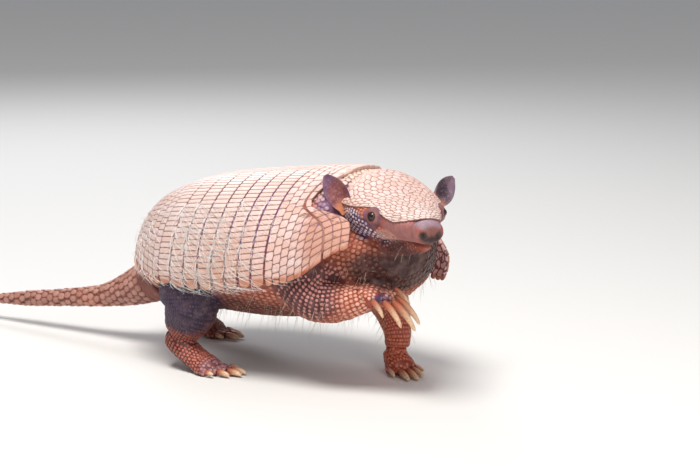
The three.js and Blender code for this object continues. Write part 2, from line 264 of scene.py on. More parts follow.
def headSpot(x, y, z):
    return headToModel @ Vector((x, y, z))


# materials


class Maker:  # builds one material's nodes, one layer of colour over another
    def __init__(self, name, tones):
        self.material = bpy.data.materials.new(name)
        self.material.use_nodes = True
        self.tree = self.material.node_tree
        self.shader = self.tree.nodes["Principled BSDF"]
        self.place = self.add("ShaderNodeTexCoord").outputs["Object"]
        self.tones = tones
        self.colour = None

    def add(self, kind, values=None, **settings):  # values are numbers or links for the inputs
        node = self.tree.nodes.new(kind)
        for key, value in settings.items():
            setattr(node, key, value)
        for socket, value in (values or {}).items():
            self.put(node.inputs[socket], value)
        return node

    def put(self, socket, value):
        if isinstance(value, bpy.types.NodeSocket):
            self.tree.links.new(value, socket)
        elif socket.type == "RGBA":
            socket.default_value = (*value, 1)
        else:
            socket.default_value = value

    def noise(self, scale, detail=3.0, roughness=0.55, distortion=0.0):
        values = {"Scale": scale, "Detail": detail, "Roughness": roughness, "Distortion": distortion}
        return self.add("ShaderNodeTexNoise", {"Vector": self.place, **values}).outputs["Fac"]

    def cells(self, scale, feature="F1", place=None):
        values = {"Vector": place or self.place, "Scale": scale}
        return self.add("ShaderNodeTexVoronoi", values, feature=feature).outputs["Distance"]

    def math(self, operation, a, b=0.0):
        return self.add("ShaderNodeMath", {0: a, 1: b}, operation=operation).outputs[0]

    def vector(self, operation, values, output="Vector"):
        return self.add("ShaderNodeVectorMath", values, operation=operation).outputs[output]

    def spread(self, value, low, high, newLow=0.0, newHigh=1.0):
        values = dict(enumerate((value, low, high, newLow, newHigh)))
        return self.add("ShaderNodeMapRange", values, interpolation_type="SMOOTHSTEP").outputs[0]

    def mix(self, factor, a, b):
        return self.add("ShaderNodeMix", {0: factor, 6: a, 7: b}, data_type="RGBA").outputs[2]

    def attribute(self, name):
        return self.add("ShaderNodeAttribute", attribute_name=name).outputs["Fac"]

    def part(self, axis):
        return self.add("ShaderNodeSeparateXYZ", {0: self.place}).outputs[axis]

    def near(self, centre, size, inner=0.75, outer=1.15, place=None):  # 1 in an oval, 0 outside it
        values = {"Vector": place or self.place, "Location": centre, "Scale": size}
        oval = self.add("ShaderNodeMapping", values, vector_type="TEXTURE").outputs[0]
        return self.spread(self.vector("LENGTH", {0: oval}, "Value"), inner, outer, 1.0, 0.0)

    def wobbled(self, scale, amount):  # the place, shaken, so that the edges of patches wander
        shake = self.add("ShaderNodeTexNoise", {"Vector": self.place, "Scale": scale}).outputs["Color"]
        centred = self.vector("SUBTRACT", {0: shake, 1: (0.5, 0.5, 0.5)})
        return self.vector("ADD", {0: self.place, 1: self.vector("SCALE", {0: centred, "Scale": amount})})

    def bump(self, height, strength, distance):
        values = {"Height": height, "Strength": strength, "Distance": distance}
        return self.add("ShaderNodeBump", values).outputs[0]

    def tone(self, name):
        return rgb(*self.tones[name])

    def lay(self, factor, over, share=None):  # lays a named colour, or one from a socket, over what is there
        if share:
            factor = self.math("MULTIPLY", factor, share)
        self.colour = self.mix(factor, self.colour, self.tone(over) if isinstance(over, str) else over)

    def patches(self, rows, placeOf):
        for centre, size, tone, inner, outer in rows:
            self.lay(self.near(placeOf(*centre), size, inner, outer), rgb(*tone))

    def finish(self, roughness, normal=None, **plain):
        self.put(self.shader.inputs["Base Color"], self.colour)
        self.put(self.shader.inputs["Roughness"], roughness)
        if normal:
            self.put(self.shader.inputs["Normal"], normal)
        for name, value in plain.items():
            self.put(self.shader.inputs[name.replace("_", " ")], value)
        return self.material


def rgb(*display):  # display colours from 0 to 255, made linear
    return tuple(c / 255 / 12.92 if c < 11 else ((c / 255 + 0.055) / 1.055) ** 2.4 for c in display)


scuteTones = {  # display colours
    # upper and lower: the shell's own tones, with painted light on the top and painted shade low down
    "upper": (240, 230, 228),
    "lower": (220, 172, 150),
    "rim": (190, 84, 24),
    # painted highlight on the rim scutes
    "rimShine": (246, 196, 120),
    "tint": (212, 166, 144),
    "blotch": (222, 178, 162),
    "speck": (160, 112, 96),
    "scratch": (138, 90, 84),
    # edge and paleEdge: painted shade on the scutes' sides, and its paler kind at the front edge
    "edge": (156, 106, 92),
    "paleEdge": (226, 192, 178),
}
scutePatches = [  # centre and half sizes in m, colour, where its edge starts and ends
    ((0.20, -0.01, 0.165), (0.06, 0.06, 0.04), (232, 204, 198), 0.75, 1.15),
    ((-0.04, -0.07, 0.125), (0.10, 0.08, 0.06), (222, 206, 202), 0.5, 1.25),
    ((0.13, -0.06, 0.14), (0.07, 0.07, 0.08), (236, 208, 202), 0.5, 1.2),
    ((0.17, -0.075, 0.132), (0.03, 0.03, 0.035), (214, 158, 140), 0.7, 1.3),
]
grooveTones = {
    "brown": (158, 108, 96),
    "violet": (136, 100, 132),
    "rim": (62, 34, 56),
    "head": (178, 132, 118),
    "mouthRim": (222, 190, 178),
    "farCrack": (104, 62, 66),
    "farSkin": (216, 176, 174),
}
mouthRim = ((0.158, 0.01, 0.185), (0.018, 0.07, 0.03))  # the pale place at the shell's front edge


def scuteMaterial():
    m = Maker("scute", scuteTones)
    low = m.spread(m.part("Z"), 0.185, 0.10)  # 1 near the rims, where the shell turns darker and warmer: partly its own tone and partly painted shade, with the light falling from above
    m.colour = m.mix(low, m.tone("upper"), m.tone("lower"))
    m.patches(scutePatches, lambda *centre: centre)
    rim = m.attribute("rim")
    m.lay(m.spread(rim, 0.1, 0.6), "rim")
    # painted highlights: bright cream spots on the rim scutes
    shine = m.math("MULTIPLY", m.spread(rim, 0.8, 1.0), m.spread(m.noise(160, 3), 0.45, 0.65, 0.1, 0.8))
    m.lay(shine, "rimShine")
    m.lay(m.spread(m.attribute("tint"), 0.0, 1.0, 0.0, 0.5), "tint")
    m.lay(m.spread(m.noise(55, 4), 0.42, 0.7), "blotch", 0.3)
    m.lay(m.spread(m.noise(900, 3, 0.7), 0.55, 0.75), "speck", 0.4)
    m.lay(m.spread(m.noise(260, 4, 0.7, 1.5), 0.56, 0.66), "scratch", 0.32)
    edge = m.mix(m.near(*mouthRim), m.tone("edge"), m.tone("paleEdge"))
    # painted shade on the scutes' sides and bevels, next to the grooves, paler at the shell's front edge
    m.lay(m.math("SUBTRACT", 1.0, m.attribute("crown")), edge, 0.7)
    grain = m.math("MULTIPLY", m.noise(1600, 4, 0.65), 0.5)
    normal = m.bump(m.math("ADD", grain, m.cells(650)), 0.35, 0.0004)
    return m.finish(m.spread(m.noise(300, 3), 0.3, 0.7, 0.36, 0.56), normal)


def grooveMaterial():
    m = Maker("groove", grooveTones)
    m.colour = m.mix(m.spread(m.noise(70, 4), 0.4, 0.65), m.tone("brown"), m.tone("violet"))
    m.lay(m.attribute("rim"), "rim")
    m.lay(m.near(headSpot(35, 0, 20), (0.07, 0.055, 0.04)), "head")
    m.lay(m.near(*mouthRim), "mouthRim")
    cell = m.spread(m.cells(150, "DISTANCE_TO_EDGE", m.wobbled(200, 0.003)), 0.05, 0.16)
    farSide = m.mix(cell, m.tone("farCrack"), m.tone("farSkin"))
    m.lay(m.near((0.215, 0.045, 0.125), (0.04, 0.05, 0.06)), farSide)
    return m.finish(0.7, m.bump(m.noise(1200, 4, 0.65), 0.5, 0.0004))


scute = scuteMaterial()
groove = grooveMaterial()
print("stage: materials of the shell")

# the shell: each plate is a slab with its scutes raised on it

shell = {  # in mm
    "groove": 0.44,  # between two scutes
    "tile": 1.5,  # how deep a scute is
    "corner": 1.0,
    "rimCorner": 4.4,
    "rimGap": (0.9, 0.97, 0.97),  # the scutes along the rims are drawn in by these
    "rimFrom": (0.75, 0.99),  # how near the rim a scute is drawn in, and its corners rounded more
    "edge": 0.28,
    "crownInset": 0.45,
    "crown": 0.12,
    "roomy": 9,  # scutes of fewer square mm get no raised middle
    "smallest": 5,  # cells of fewer square mm are left out
    "slabDepth": 0.55,  # the groove's floor under the scutes' faces
    "slabMargin": 0.4,
    "slab": 2.6,
    "pitch": 4.9,  # a scute's width along a band
    "rimScute": 10.5,
    "firstBand": 66,
    "bandPitch": 15.4,
    "bandGap": 2.0,
    "bands": 8,
    "setBack": 0.3,  # how far the plates' edges stand back from the bands' lines
}
shoulderLine = run(98, 97.5, 96, 92, 92, 110, 123, 127, 128)
mouthLine = run(112, 111, 107, 99.5, 99, 124, 146, 151, 152)


def lengthsAlong(points):  # how far along a line its points lie, in mm
    lengths = [0.0]
    for a, b in zip(points, points[1:]):
        lengths.append(lengths[-1] + (b - a).length / mm)
    return lengths


def stepAt(lengths, length):  # the step that a length lies in, and how far into it, as a share
    above = next((k for k, v in enumerate(lengths) if v >= length - 1e-9), len(lengths) - 1)
    below = max(above - 1, 0)
    return below, (length - lengths[below]) / (lengths[above] - lengths[below] or 1)


def acrossLines(x, pitch, rimScute, steps=90):  # where the lines between scutes lie from one rim to the other
    lines = []
    for half in (-1, 1):
        lengths = lengthsAlong([shellPoint(x, half * i / steps) for i in range(steps + 1)])
        body = max(lengths[-1] - rimScute, pitch)
        count = max(1, round(body / pitch))
        wanted = [body * i / count for i in range(count + 1)] + [lengths[-1]]
        for i, length in enumerate(wanted):
            if i == 0 and half == 1:
                continue  # the top line is there already
            step, more = stepAt(lengths, length)
            lines.append(half * (step + more) / steps)
    return sorted(lines)


def alongLines(x0, x1, pitch, side=0.4, steps=120):  # where they lie from the rear to the front
    xs = [x0 + (x1 - x0) * i / steps for i in range(steps + 1)]
    lengths = lengthsAlong([shellPoint(x, side) for x in xs])
    count = max(1, round(lengths[-1] / pitch))
    lines = []
    for i in range(count + 1):
        step, more = stepAt(lengths, lengths[-1] * i / count)
        lines.append(xs[step] + more * (x1 - x0) / steps)
    return lines


def grid(flat, columns, rows):  # a grid whose corners hold whole numbers, from 0,0 to columns,rows
    made = bmesh.ops.create_grid(flat, x_segments=columns, y_segments=rows, size=0.5)["verts"]
    for vert in made:
        vert.co = (round((vert.co.x + 0.5) * columns), round((vert.co.y + 0.5) * rows), 0)
    return made


def brickUp(flat, columns):  # joins cells two by two across, shifted in every other column
    def between(edge):
        a, b = (v.co for v in edge.verts)
        return abs(a.y - b.y) < 0.1 and len(edge.link_faces) == 2

    joined = []
    for edge in flat.edges:
        if between(edge):
            column = int(min(v.co.x for v in edge.verts))
            if (int(edge.verts[0].co.y) + column) % 2:
                joined.append(edge)
    bmesh.ops.dissolve_edges(flat, edges=joined, use_verts=False, use_face_split=False)


def roundCorners(flat, wanted):  # corners on short edges are rounded less
    groups = {}
    for vert in flat.verts:
        shortest = min(edge.calc_length() for edge in vert.link_edges) / mm
        groups.setdefault(round(min(wanted(vert), 0.42 * shortest), 1), []).append(vert)
    for offset, verts in groups.items():
        bevelBy(flat, verts, offset, "VERTICES")


def bevelBy(flat, geom, offset, affect):
    bmesh.ops.bevel(flat, geom=geom, offset=offset * mm, affect=affect, segments=2, profile=0.5, material=-1)


def raiseScutes(flat, look):  # parts the cells with grooves and makes each one a low, rounded tile
    tileOf = flat.faces.layers.int.new("tile")
    small = [f for f in flat.faces if f.calc_area() < look["smallest"] * 1e-6]
    bmesh.ops.delete(flat, geom=small, context="FACES")
    for i, face in enumerate(flat.faces):
        face[tileOf] = i + 1
    half = look["groove"] * mm / 2
    rims = bmesh.ops.inset_individual(flat, faces=flat.faces[:], thickness=half, use_even_offset=True)
    bmesh.ops.delete(flat, geom=rims["faces"], context="FACES")
    bmesh.ops.planar_faces(flat, faces=flat.faces[:], iterations=30, factor=0.9)
    for face in flat.faces:  # the scutes along the rims stand further apart
        middle = face.calc_center_median()
        if look["rimAt"](middle) > look["rimFrom"][0]:
            bmesh.ops.scale(flat, vec=look["rimGap"], space=Matrix.Translation(-middle), verts=face.verts[:])
    onRim = lambda vert: look["rimAt"](vert.co) > look["rimFrom"][1]
    roundCorners(flat, lambda vert: look["rimCorner"] if onRim(vert) else look["corner"])
    outer = set(flat.verts)
    bmesh.ops.solidify(flat, geom=flat.faces[:], thickness=look["tile"] * mm)
    top = flat.faces.layers.int.new("top")
    edges = set()
    for face in flat.faces:
        face[top] = int(len(face.verts) > 4 and all(v in outer for v in face.verts))
        if face[top]:
            edges.update(face.edges)
    bevelBy(flat, list(edges), look["edge"], "EDGES")
    tops = [f for f in flat.faces if f[top] and len(f.verts) > 4]
    roomy = [f for f in tops if f.calc_area() > look["roomy"] * 1e-6]
    bmesh.ops.inset_individual(flat, faces=roomy, thickness=look["crownInset"] * mm, depth=look["crown"] * mm)
    # 1 on the scutes' tops, 0.7 on the corners next to them and 0 on their sides; the scute material paints
    # shade on the sides and bevels from it
    unshadedCrown = flat.verts.layers.float.new("crown")
    for face in tops:
        for vert in face.verts:
            vert[unshadedCrown] = 1.0
            for edge in vert.link_edges:
                other = edge.other_vert(vert)
                other[unshadedCrown] = max(other[unshadedCrown], 0.7)
    for vert in bmesh.ops.poke(flat, faces=tops, offset=look["crown"] * mm * 0.6)["verts"]:
        vert[unshadedCrown] = 1.0


def finishPlate(name, flat, slab, node, look):
    bmesh.ops.solidify(slab, geom=slab.faces[:], thickness=look["slab"] * mm)
    for face in slab.faces:
        face.material_index = 1
    whole = bmesh.new()
    addTo(whole, flat)
    addTo(whole, slab)
    mesh = meshOf(whole, name)
    tint = mesh.attributes.new("tint", "FLOAT", "FACE")
    tiles = mesh.attributes["tile"].data
    values = [noise.noise(Vector((t.value * 1.73, 0.31, len(name) * 0.7))) * 0.9 + 0.5 for t in tiles]
    tint.data.foreach_set("value", values)
    rim = mesh.attributes.new("rim", "FLOAT", "POINT")
    rim.data.foreach_set("value", [look["rimAt"](v.co) for v in mesh.vertices])
    for work in ("tile", "top"):
        mesh.attributes.remove(mesh.attributes[work])
    piece = smoothPiece(name, mesh, scute, groove)
    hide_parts(node)


def betweenEdges(rear, front, along):  # a slab ends a little inside its plate's edges
    margin = shell["slabMargin"]
    return rear + margin + (front - rear - 2 * margin) * along


def makeSlab(place, columns, rows):  # place(along, across) gives the grooves' floor
    slab = bmesh.new()
    for vert in grid(slab, columns, rows):
        vert.co = place(vert.co.x / columns, vert.co.y / rows)
    turnOut(slab, trunkCentre)
    return slab


trunkCentre = Vector((0.06, 0, 0.09))


def turnOut(flat, centre):  # the faces of an open sheet point away from the centre
    flat.normal_update()
    bmesh.ops.recalc_face_normals(flat, faces=flat.faces[:])
    flat.normal_update()
    face = max(flat.faces, key=lambda f: f.calc_area())
    if face.normal.dot(face.calc_center_median() - centre) < 0:
        bmesh.ops.reverse_faces(flat, faces=flat.faces[:])
    flat.normal_update()


def pointOut(flat, centre):  # the same for cells that don't hang together
    flat.normal_update()
    inward = [f for f in flat.faces if f.normal.dot(f.calc_center_median() - centre) < 0]
    bmesh.ops.reverse_faces(flat, faces=inward)
    flat.normal_update()


def belowTop(point):  # how far round the shell a place lies, and where the rim is there, in degrees
    p = fromModel(point)
    bend = max(0.0, p.x)
    side = p.y + trunkForm["turn"] * bend * bend
    share = shareAt(p.x)
    height = p.z - trunkForm["axisHeight"](share)
    height /= trunkForm["rise"](share) if height > 0 else trunkForm["drop"](share)
    angle = math.degrees(math.atan2(abs(side) / trunkForm["halfWidth"](share), height))
    return angle, trunkForm["rimRight"](share) if side < 0 else trunkForm["rimLeft"](share)


rimLook = {"from": 11.5, "fade": 6}  # degrees above the rim where it starts, and over how many it grows


def rimOnShell(point):  # 1 on the scutes along the rims, less on the row above, 0 elsewhere
    angle, rim = belowTop(point)
    return clamp((angle - rim + rimLook["from"]) / rimLook["fade"])


def placeCells(flat, lines, columns, pitch, rearLine, frontLine, growRear, growFront, brick=0.0):
    grid(flat, columns, len(lines) - 1)
    if brick:
        brickUp(flat, columns)
    lengthAt = lambda side: frontLine(side) - rearLine(side)
    beyond = []
    for face in flat.faces:
        middle = face.calc_center_bounds()
        side = (lines[math.floor(middle.y)] + lines[math.ceil(middle.y)]) / 2
        if math.ceil(middle.x) > max(1, round(lengthAt(side) / pitch)):
            beyond.append(face)
    bmesh.ops.delete(flat, geom=beyond, context="FACES")
    places = []
    for vert in flat.verts:
        column, line = round(vert.co.x), round(vert.co.y)
        side = lines[line]
        last = all(f.calc_center_bounds().x < column for f in vert.link_faces)
        x = frontLine(side) if last and column else rearLine(side) + column * pitch
        if brick and column and not last:
            x += brick if (line + column - 1) % 2 else -brick
        grow = growRear + (growFront - growRear) * clamp((x - rearLine(side)) / lengthAt(side))
        places.append(shellPoint(x, side, grow))
    for vert, place in zip(flat.verts, places):
        vert.co = place


shellLook = {**shell, "rimAt": rimOnShell}


def bandPlate(name, rear, front):
    lines = acrossLines((rear + front) / 2, shell["pitch"], shell["rimScute"])
    flat = bmesh.new()
    for vert in grid(flat, 1, len(lines) - 1):
        x, grow = (front, 0.0) if vert.co.x else (rear, 1.0)
        vert.co = shellPoint(x, lines[round(vert.co.y)], grow)
    pointOut(flat, trunkCentre)
    raiseScutes(flat, shellLook)

    def place(along, across):
        x = betweenEdges(rear, front, along)
        return shellPoint(x, (2 * across - 1) * 0.955, 1.0 - along - shell["slabDepth"])

    finishPlate(name + "_scutes", flat, makeSlab(place, 2, 48), name, shellLook)


for number in range(shell["bands"]):
    front = shell["firstBand"] - number * shell["bandPitch"] - shell["bandGap"] / 2 - shell["setBack"]
    bandPlate(f"band_{number + 1}", front - shell["bandPitch"] + shell["bandGap"], front)
print("stage: bands")


def shieldPlate(name, lines, pitch, rearLine, frontLine, growRear, growFront, look, brick=0.0):
    flat = bmesh.new()
    placeCells(flat, lines, 9, pitch, rearLine, frontLine, growRear, growFront, brick)
    pointOut(flat, trunkCentre)
    raiseScutes(flat, look)

    def place(along, across):
        side = (2 * across - 1) * 0.965
        x = betweenEdges(rearLine(side), frontLine(side), along)
        return shellPoint(x, side, growRear + (growFront - growRear) * along - shell["slabDepth"])

    finishPlate(name + "_scutes", flat, makeSlab(place, 6, 60), name, look)


firstRear = shell["firstBand"] + shell["bandGap"] / 2 - shell["setBack"]
squareLook = {**shellLook, "corner": 1.2, "crownInset": 0.8, "groove": 0.4}
shoulder = {"middle": 95, "width": 3.7, "rimScute": 4.6, "length": 8.2, "brick": 0.3}  # its scutes, in mm
nape = {"middle": 118, "width": 7.6, "rimScute": 8.0, "length": 7.6, "gap": 1.5}
pelvis = {"width": 6.0, "rimScute": 7.5, "length": 9.0, "rearInset": 0.012}
shieldPlate(
    "shoulder_shield",
    acrossLines(shoulder["middle"], shoulder["width"], shoulder["rimScute"]),
    shoulder["length"],
    lambda side: firstRear,
    lambda side: shoulderLine(abs(side)),
    1.0,
    0.0,
    squareLook,
    shoulder["brick"],
)
shieldPlate(
    "nape_band",
    acrossLines(nape["middle"], nape["width"], nape["rimScute"]),
    nape["length"],
    lambda side: shoulderLine(abs(side)) + nape["gap"],
    lambda side: mouthLine(abs(side)),
    0.0,
    -1.0,
    squareLook,
)
print("stage: shoulder shield and nape band")


def pelvicPlate():
    rear = trunkForm["rear"] + pelvis["rearInset"] * (trunkForm["front"] - trunkForm["rear"])
    front = shell["firstBand"] - shell["bands"] * shell["bandPitch"] - shell["bandGap"] / 2
    flat = bmesh.new()
    rows = alongLines(rear, front, pelvis["length"])
    for x0, x1 in zip(rows, rows[1:]):
        lines = acrossLines((x0 + x1) / 2, pelvis["width"], pelvis["rimScute"])
        for vert in grid(flat, 1, len(lines) - 1):
            vert.co = shellPoint(x1 if vert.co.x else x0, lines[round(vert.co.y)])
    pointOut(flat, trunkCentre)
    raiseScutes(flat, shellLook)

    def place(along, across):
        return shellPoint(alongAt(rows, along), (2 * across - 1) * 0.96, -shell["slabDepth"])

    finishPlate("pelvic_shield_scutes", flat, makeSlab(place, 14, 48), "pelvic_shield", shellLook)


def alongAt(rows, share):
    place = share * (len(rows) - 1)
    i = min(int(place), len(rows) - 2)
    return rows[i] + (rows[i + 1] - rows[i]) * (place - i)


pelvicPlate()
print("stage: pelvic shield")

# the shield on the head, of small, uneven scutes

headLook = {
    **shell,
    "parts": [(0.0, 0.5, 9, 17), (0.5, 0.78, 6, 13), (0.78, 1.0, 5, 10)],  # from, to, columns, rows
    "groove": 0.3,
    "corner": 0.8,
    "rimCorner": 1.8,
    "edge": 0.25,
    "crownInset": 0.35,
    "tile": 1.1,
    "slabDepth": 0.5,
    "slab": 1.6,
    "uneven": 0.2,  # how far a corner strays, as a share of a scute
    "brick": 0.16,
    "sway": 0.035,  # how far the rows wander
    "rear": (0.045, 0.13),  # where the shield ends in the middle, and how much further at its sides
    "front": (0.905, -0.15),
    "slabSteps": 24,
    "rimAt": lambda point: 0.0,
}


def headShield():
    wander = random.Random(5)

    def place(along, across, depth=0.0):
        shaken = Vector((along * 9, across * 9, 0))
        along += headLook["sway"] * noise.noise(shaken) * min(1, 6 * along, 6 - 6 * along)
        side = 2 * across - 1
        rear, front = (at + more * side * side for at, more in (headLook["rear"], headLook["front"]))
        return headPoint(rear + (front - rear) * along, side, 2.0 - along - depth)

    flat = bmesh.new()
    for start, end, columns, rows in headLook["parts"]:
        part = bmesh.new()
        grid(part, columns, 2 * rows)
        brickUp(part, columns)
        places = []
        for vert in part.verts:
            x, y = vert.co.x, vert.co.y
            column, line = round(x), round(y)
            if 0 < column < columns:
                x += headLook["brick"] if (line + column - 1) % 2 else -headLook["brick"]
                if 0 < line < 2 * rows:
                    x += wander.uniform(-1, 1) * headLook["uneven"]
                    y += wander.uniform(-1, 1) * headLook["uneven"] * 1.6
            places.append(place(start + (end - start) * x / columns, y / (2 * rows)))
        for vert, spot in zip(part.verts, places):
            vert.co = spot
        addTo(flat, part)
    centre = headSpot(20, 0, 0)
    pointOut(flat, centre)
    raiseScutes(flat, headLook)
    steps = headLook["slabSteps"]
    slab = bmesh.new()
    for vert in grid(slab, steps, steps):
        along, across = (0.01 + 0.98 * at / steps for at in vert.co[:2])
        vert.co = place(along, across, headLook["slabDepth"])
    turnOut(slab, centre)
    finishPlate("head_shield_scutes", flat, slab, "head_shield", headLook)


headShield()
print("stage: head shield")

# the flesh: every form of the body, joined into one skin


def ofKind(made, kind):  # the corners, edges or faces among what an operator made
    return [g for g in made if isinstance(g, kind)]


coatDepth = 0.35  # mm from the scales' tips down to the skin
fleshDepth = 5.8
tail = {
    "line": [(-104, 0, 68), (-138, 1, 52), (-171, 2, 41), (-218, 4, 33), (-272, 7, 25.5), (-318, 9, 20)],
    "radius": run(23, 16.5, 10.5, 8, 6.6, 3.4),
}
neck = {
    "line": [(100, -8, 112), (126, -14, 114), (148, -27, 118), (168, -42, 121)],
    "wide": run(68, 57, 41, 20),
    "deep": run(57, 47, 35, 18),
}
legs = {
    "fore_right": {
        "line": [(84, -46, 107), (85, -59, 88), (102, -63, 78), (124, -62, 79), (143, -59, 85)],
        "wide": run(22, 22, 18, 13.5, 10.5),
        "deep": run(34, 28, 20, 15, 10.5),
        "foot": [(136, -61, 84.5), (146, -58.5, 87), (155, -56.5, 86)],
        "footWide": run(10, 12.5, 13.5),
        "footDeep": run(10, 9, 6.5),
        "toeStart": (155, -56.5, 87),
        "toeForward": (0.82, 0.12, -0.56),
        "sideways": (0.1, 0.93, 0.3),
        "toeReach": 7,
        "clawScale": 1.16,
        "clawDrop": 0.3,
    },
    "fore_left": {
        "line": [(96, 34, 99), (98, 44, 74), (110, 42, 52), (119, 36, 34), (120, 34, 20)],
        "wide": run(22, 20, 15, 12, 11),
        "deep": run(30, 24, 17, 12.5, 11.5),
        "foot": [(115, 36, 21), (121, 32, 10), (134, 23, 4.4)],
        "footWide": run(10, 13, 14.5),
        "footDeep": run(10, 10.5, 8),
        "toeStart": (131, 25, 3.4),
        "toeForward": (0.8, -0.6, 0),
        "sideways": (-0.6, -0.8, 0),
        "toeReach": 8,
        "clawScale": 0.85,
        "clawDrop": 0.1,
    },
    "hind_right": {
        "line": [(-42, -44, 91), (-37, -57, 70), (-36, -60, 54), (-42, -60, 42), (-50, -59, 31)],
        "wide": run(24, 24, 20, 15, 11),
        "deep": run(32, 30, 26, 21, 15),
        "foot": [(-61, -58, 30), (-46, -60, 22), (-24, -61, 8.6), (-5, -62, 4.4)],
        "footWide": run(9, 12, 14, 15),
        "footDeep": run(10, 11, 9.5, 7.6),
        "toeStart": (-9, -62, 3.4),
        "toeForward": (1, -0.02, 0),
        "sideways": (0, 1, 0),
        "toeReach": 13,
        "clawScale": 0.55,
        "clawDrop": 0.12,
    },
    "hind_left": {
        "line": [(-60, 44, 91), (-62, 56, 70), (-70, 60, 54), (-92, 61, 40), (-112, 60, 31)],
        "wide": run(24, 24, 20, 14, 10),
        "deep": run(38, 34, 25, 16, 11),
        "foot": [(-126, 59, 29), (-112, 60, 21), (-96, 61, 8.6), (-82, 61, 4.4)],
        "footWide": run(9, 12, 14, 15),
        "footDeep": run(9.5, 10.5, 9.5, 7.6),
        "toeStart": (-86, 61, 3.4),
        "toeForward": (1, 0.05, 0),
        "sideways": (0, -1, 0),
        "toeReach": 13,
        "clawScale": 0.55,
        "clawDrop": 0.12,
    },
}
toes = {
    "sizes": [0.62, 0.96, 1, 0.84, 0.56],  # from the inner to the outer
    "setBack": [6, 0, 0, 4.5, 11],
    "longestClaw": 30,
    "radius": run(4.4, 4.3, 3.8),
    "spacing": 6.2,
    "fan": 0.08,  # how much each toe turns away from the middle one
    "rootBehind": 9,
    "rootIn": 0.45,  # how much nearer the middle toe the roots lie, in spacings
}
ears = {
    "length": 33,
    "wall": 2.2,
    "halfWidth": run(5.5, 8.2, 9.6, 9.4, 7.8, 5),
    "cup": run(8, 7, 6, 5, 4, 3),
    "root": (-2, 41, 8),
    "right": {"axis": (-14, -14, 26), "facing": (0.85, -0.5, 0.1)},
    "left": {"axis": (-14, 20, 17), "facing": (0.98, 0.15, 0.1)},
}
eyes = {"radius": 4.2, "right": (33.5, -30.3, 6.5), "left": (33.5, 30.3, 6.5)}


def toePlaces(leg):
    forward = Vector(leg["toeForward"]).normalized()
    sideways = Vector(leg["sideways"])
    sideways = (sideways - forward * sideways.dot(forward)).normalized()
    heel, sole = (Vector(p) for p in leg["foot"][-2:])
    footForward = (sole - heel).normalized()
    down = forward.cross(sideways)
    if down.z > 0:
        down = -down
    for i, size in enumerate(toes["sizes"]):
        off = 2 - i
        aside = sideways * off * toes["spacing"]
        start = Vector(leg["toeStart"]) + aside - forward * toes["setBack"][i]
        yield {
            "start": start,
            "root": start - aside * toes["rootIn"] - footForward * toes["rootBehind"],
            "along": (forward + sideways * off * toes["fan"]).normalized(),
            "down": down,
            "sideways": sideways,
            "reach": leg["toeReach"] * (0.7 + 0.3 * size),
            "length": toes["longestClaw"] * size * leg["clawScale"],
            "drop": leg["clawDrop"] * toes["longestClaw"] * size * leg["clawScale"],
            "thick": math.sqrt(size),
        }


def toeLine(toe):
    ahead = [toe["start"] + toe["along"] * toe["reach"] * far for far in (0.4, 1)]
    return [toe["root"], *ahead], lambda share: toe["thick"] * toes["radius"](share)


def limbForm(line, wide, deep, across=(0, 1, 0), roundStart=0.1, roundEnd=0.1, grow=0.0):
    curve = smoothLine(line)
    acrossBody = Vector(across)

    def place(share, angle):
        share = 0.003 + 0.994 * share
        centre, along = curve(share)
        up = along.cross(acrossBody).normalized()
        side = up.cross(along).normalized()
        size = 1.0
        if share < roundStart:
            size = math.sqrt(1 - (1 - share / roundStart) ** 2)
        if share > 1 - roundEnd:
            size *= math.sqrt(1 - (1 - (1 - share) / roundEnd) ** 2)
        sideways = (wide(share) + grow) * size * math.sin(angle)
        return centre + side * sideways + up * (deep(share) + grow) * size * math.cos(angle)

    return place


def addForm(whole, place, segments=24, rings=16):  # a ball bent onto a form
    for vert in bmesh.ops.create_uvsphere(whole, u_segments=segments, v_segments=rings, radius=1)["verts"]:
        share = clamp((1 - vert.co.z) / 2)
        spot = place(share, math.atan2(vert.co.x, vert.co.y))
        if abs(vert.co.z) > 0.9999:
            spot = (spot + place(share, math.pi)) / 2
        vert.co = toModel(spot)


def earForm(side):
    outward = 1 if side == "left" else -1
    x, out, height = ears["root"]
    root = Vector((x, outward * out, height))
    axis = Vector(ears[side]["axis"]).normalized()
    facing = Vector(ears[side]["facing"])
    facing = (facing - axis * facing.dot(axis)).normalized()
    across = axis.cross(facing)

    def place(share, angle):
        share = -0.12 + 1.105 * share
        tip = math.sqrt(max(0.0, 1 - max(share, 0.0) ** 4))
        u = math.sin(angle)
        front = math.copysign(abs(math.cos(angle)) ** 0.5, math.cos(angle))
        depth = (0.5 * front - 0.5) * (ears["wall"] + 0.8)
        point = root + axis * share * ears["length"] + across * u * (ears["halfWidth"](share) * tip + 0.5)
        return headPlace @ (point + facing * ((u * u - 0.6) * ears["cup"](share) * tip + depth))

    return place


def napeAt(share):
    return 88 + 40 * share


def napeForm(share, angle):  # fills the shell's mouth behind the head
    fall = clamp((share - 0.62) / 0.38)
    drawn = 4.9 + 15 * fall * fall + 34 * share * max(0.0, -math.cos(angle))
    return formPoint(trunkForm, shareAt(napeAt(share)), angle, -drawn)


def napeCentre(share):
    x = napeAt(share)
    return Vector((x, -trunkForm["turn"] * x * x, trunkForm["axisHeight"](shareAt(x))))


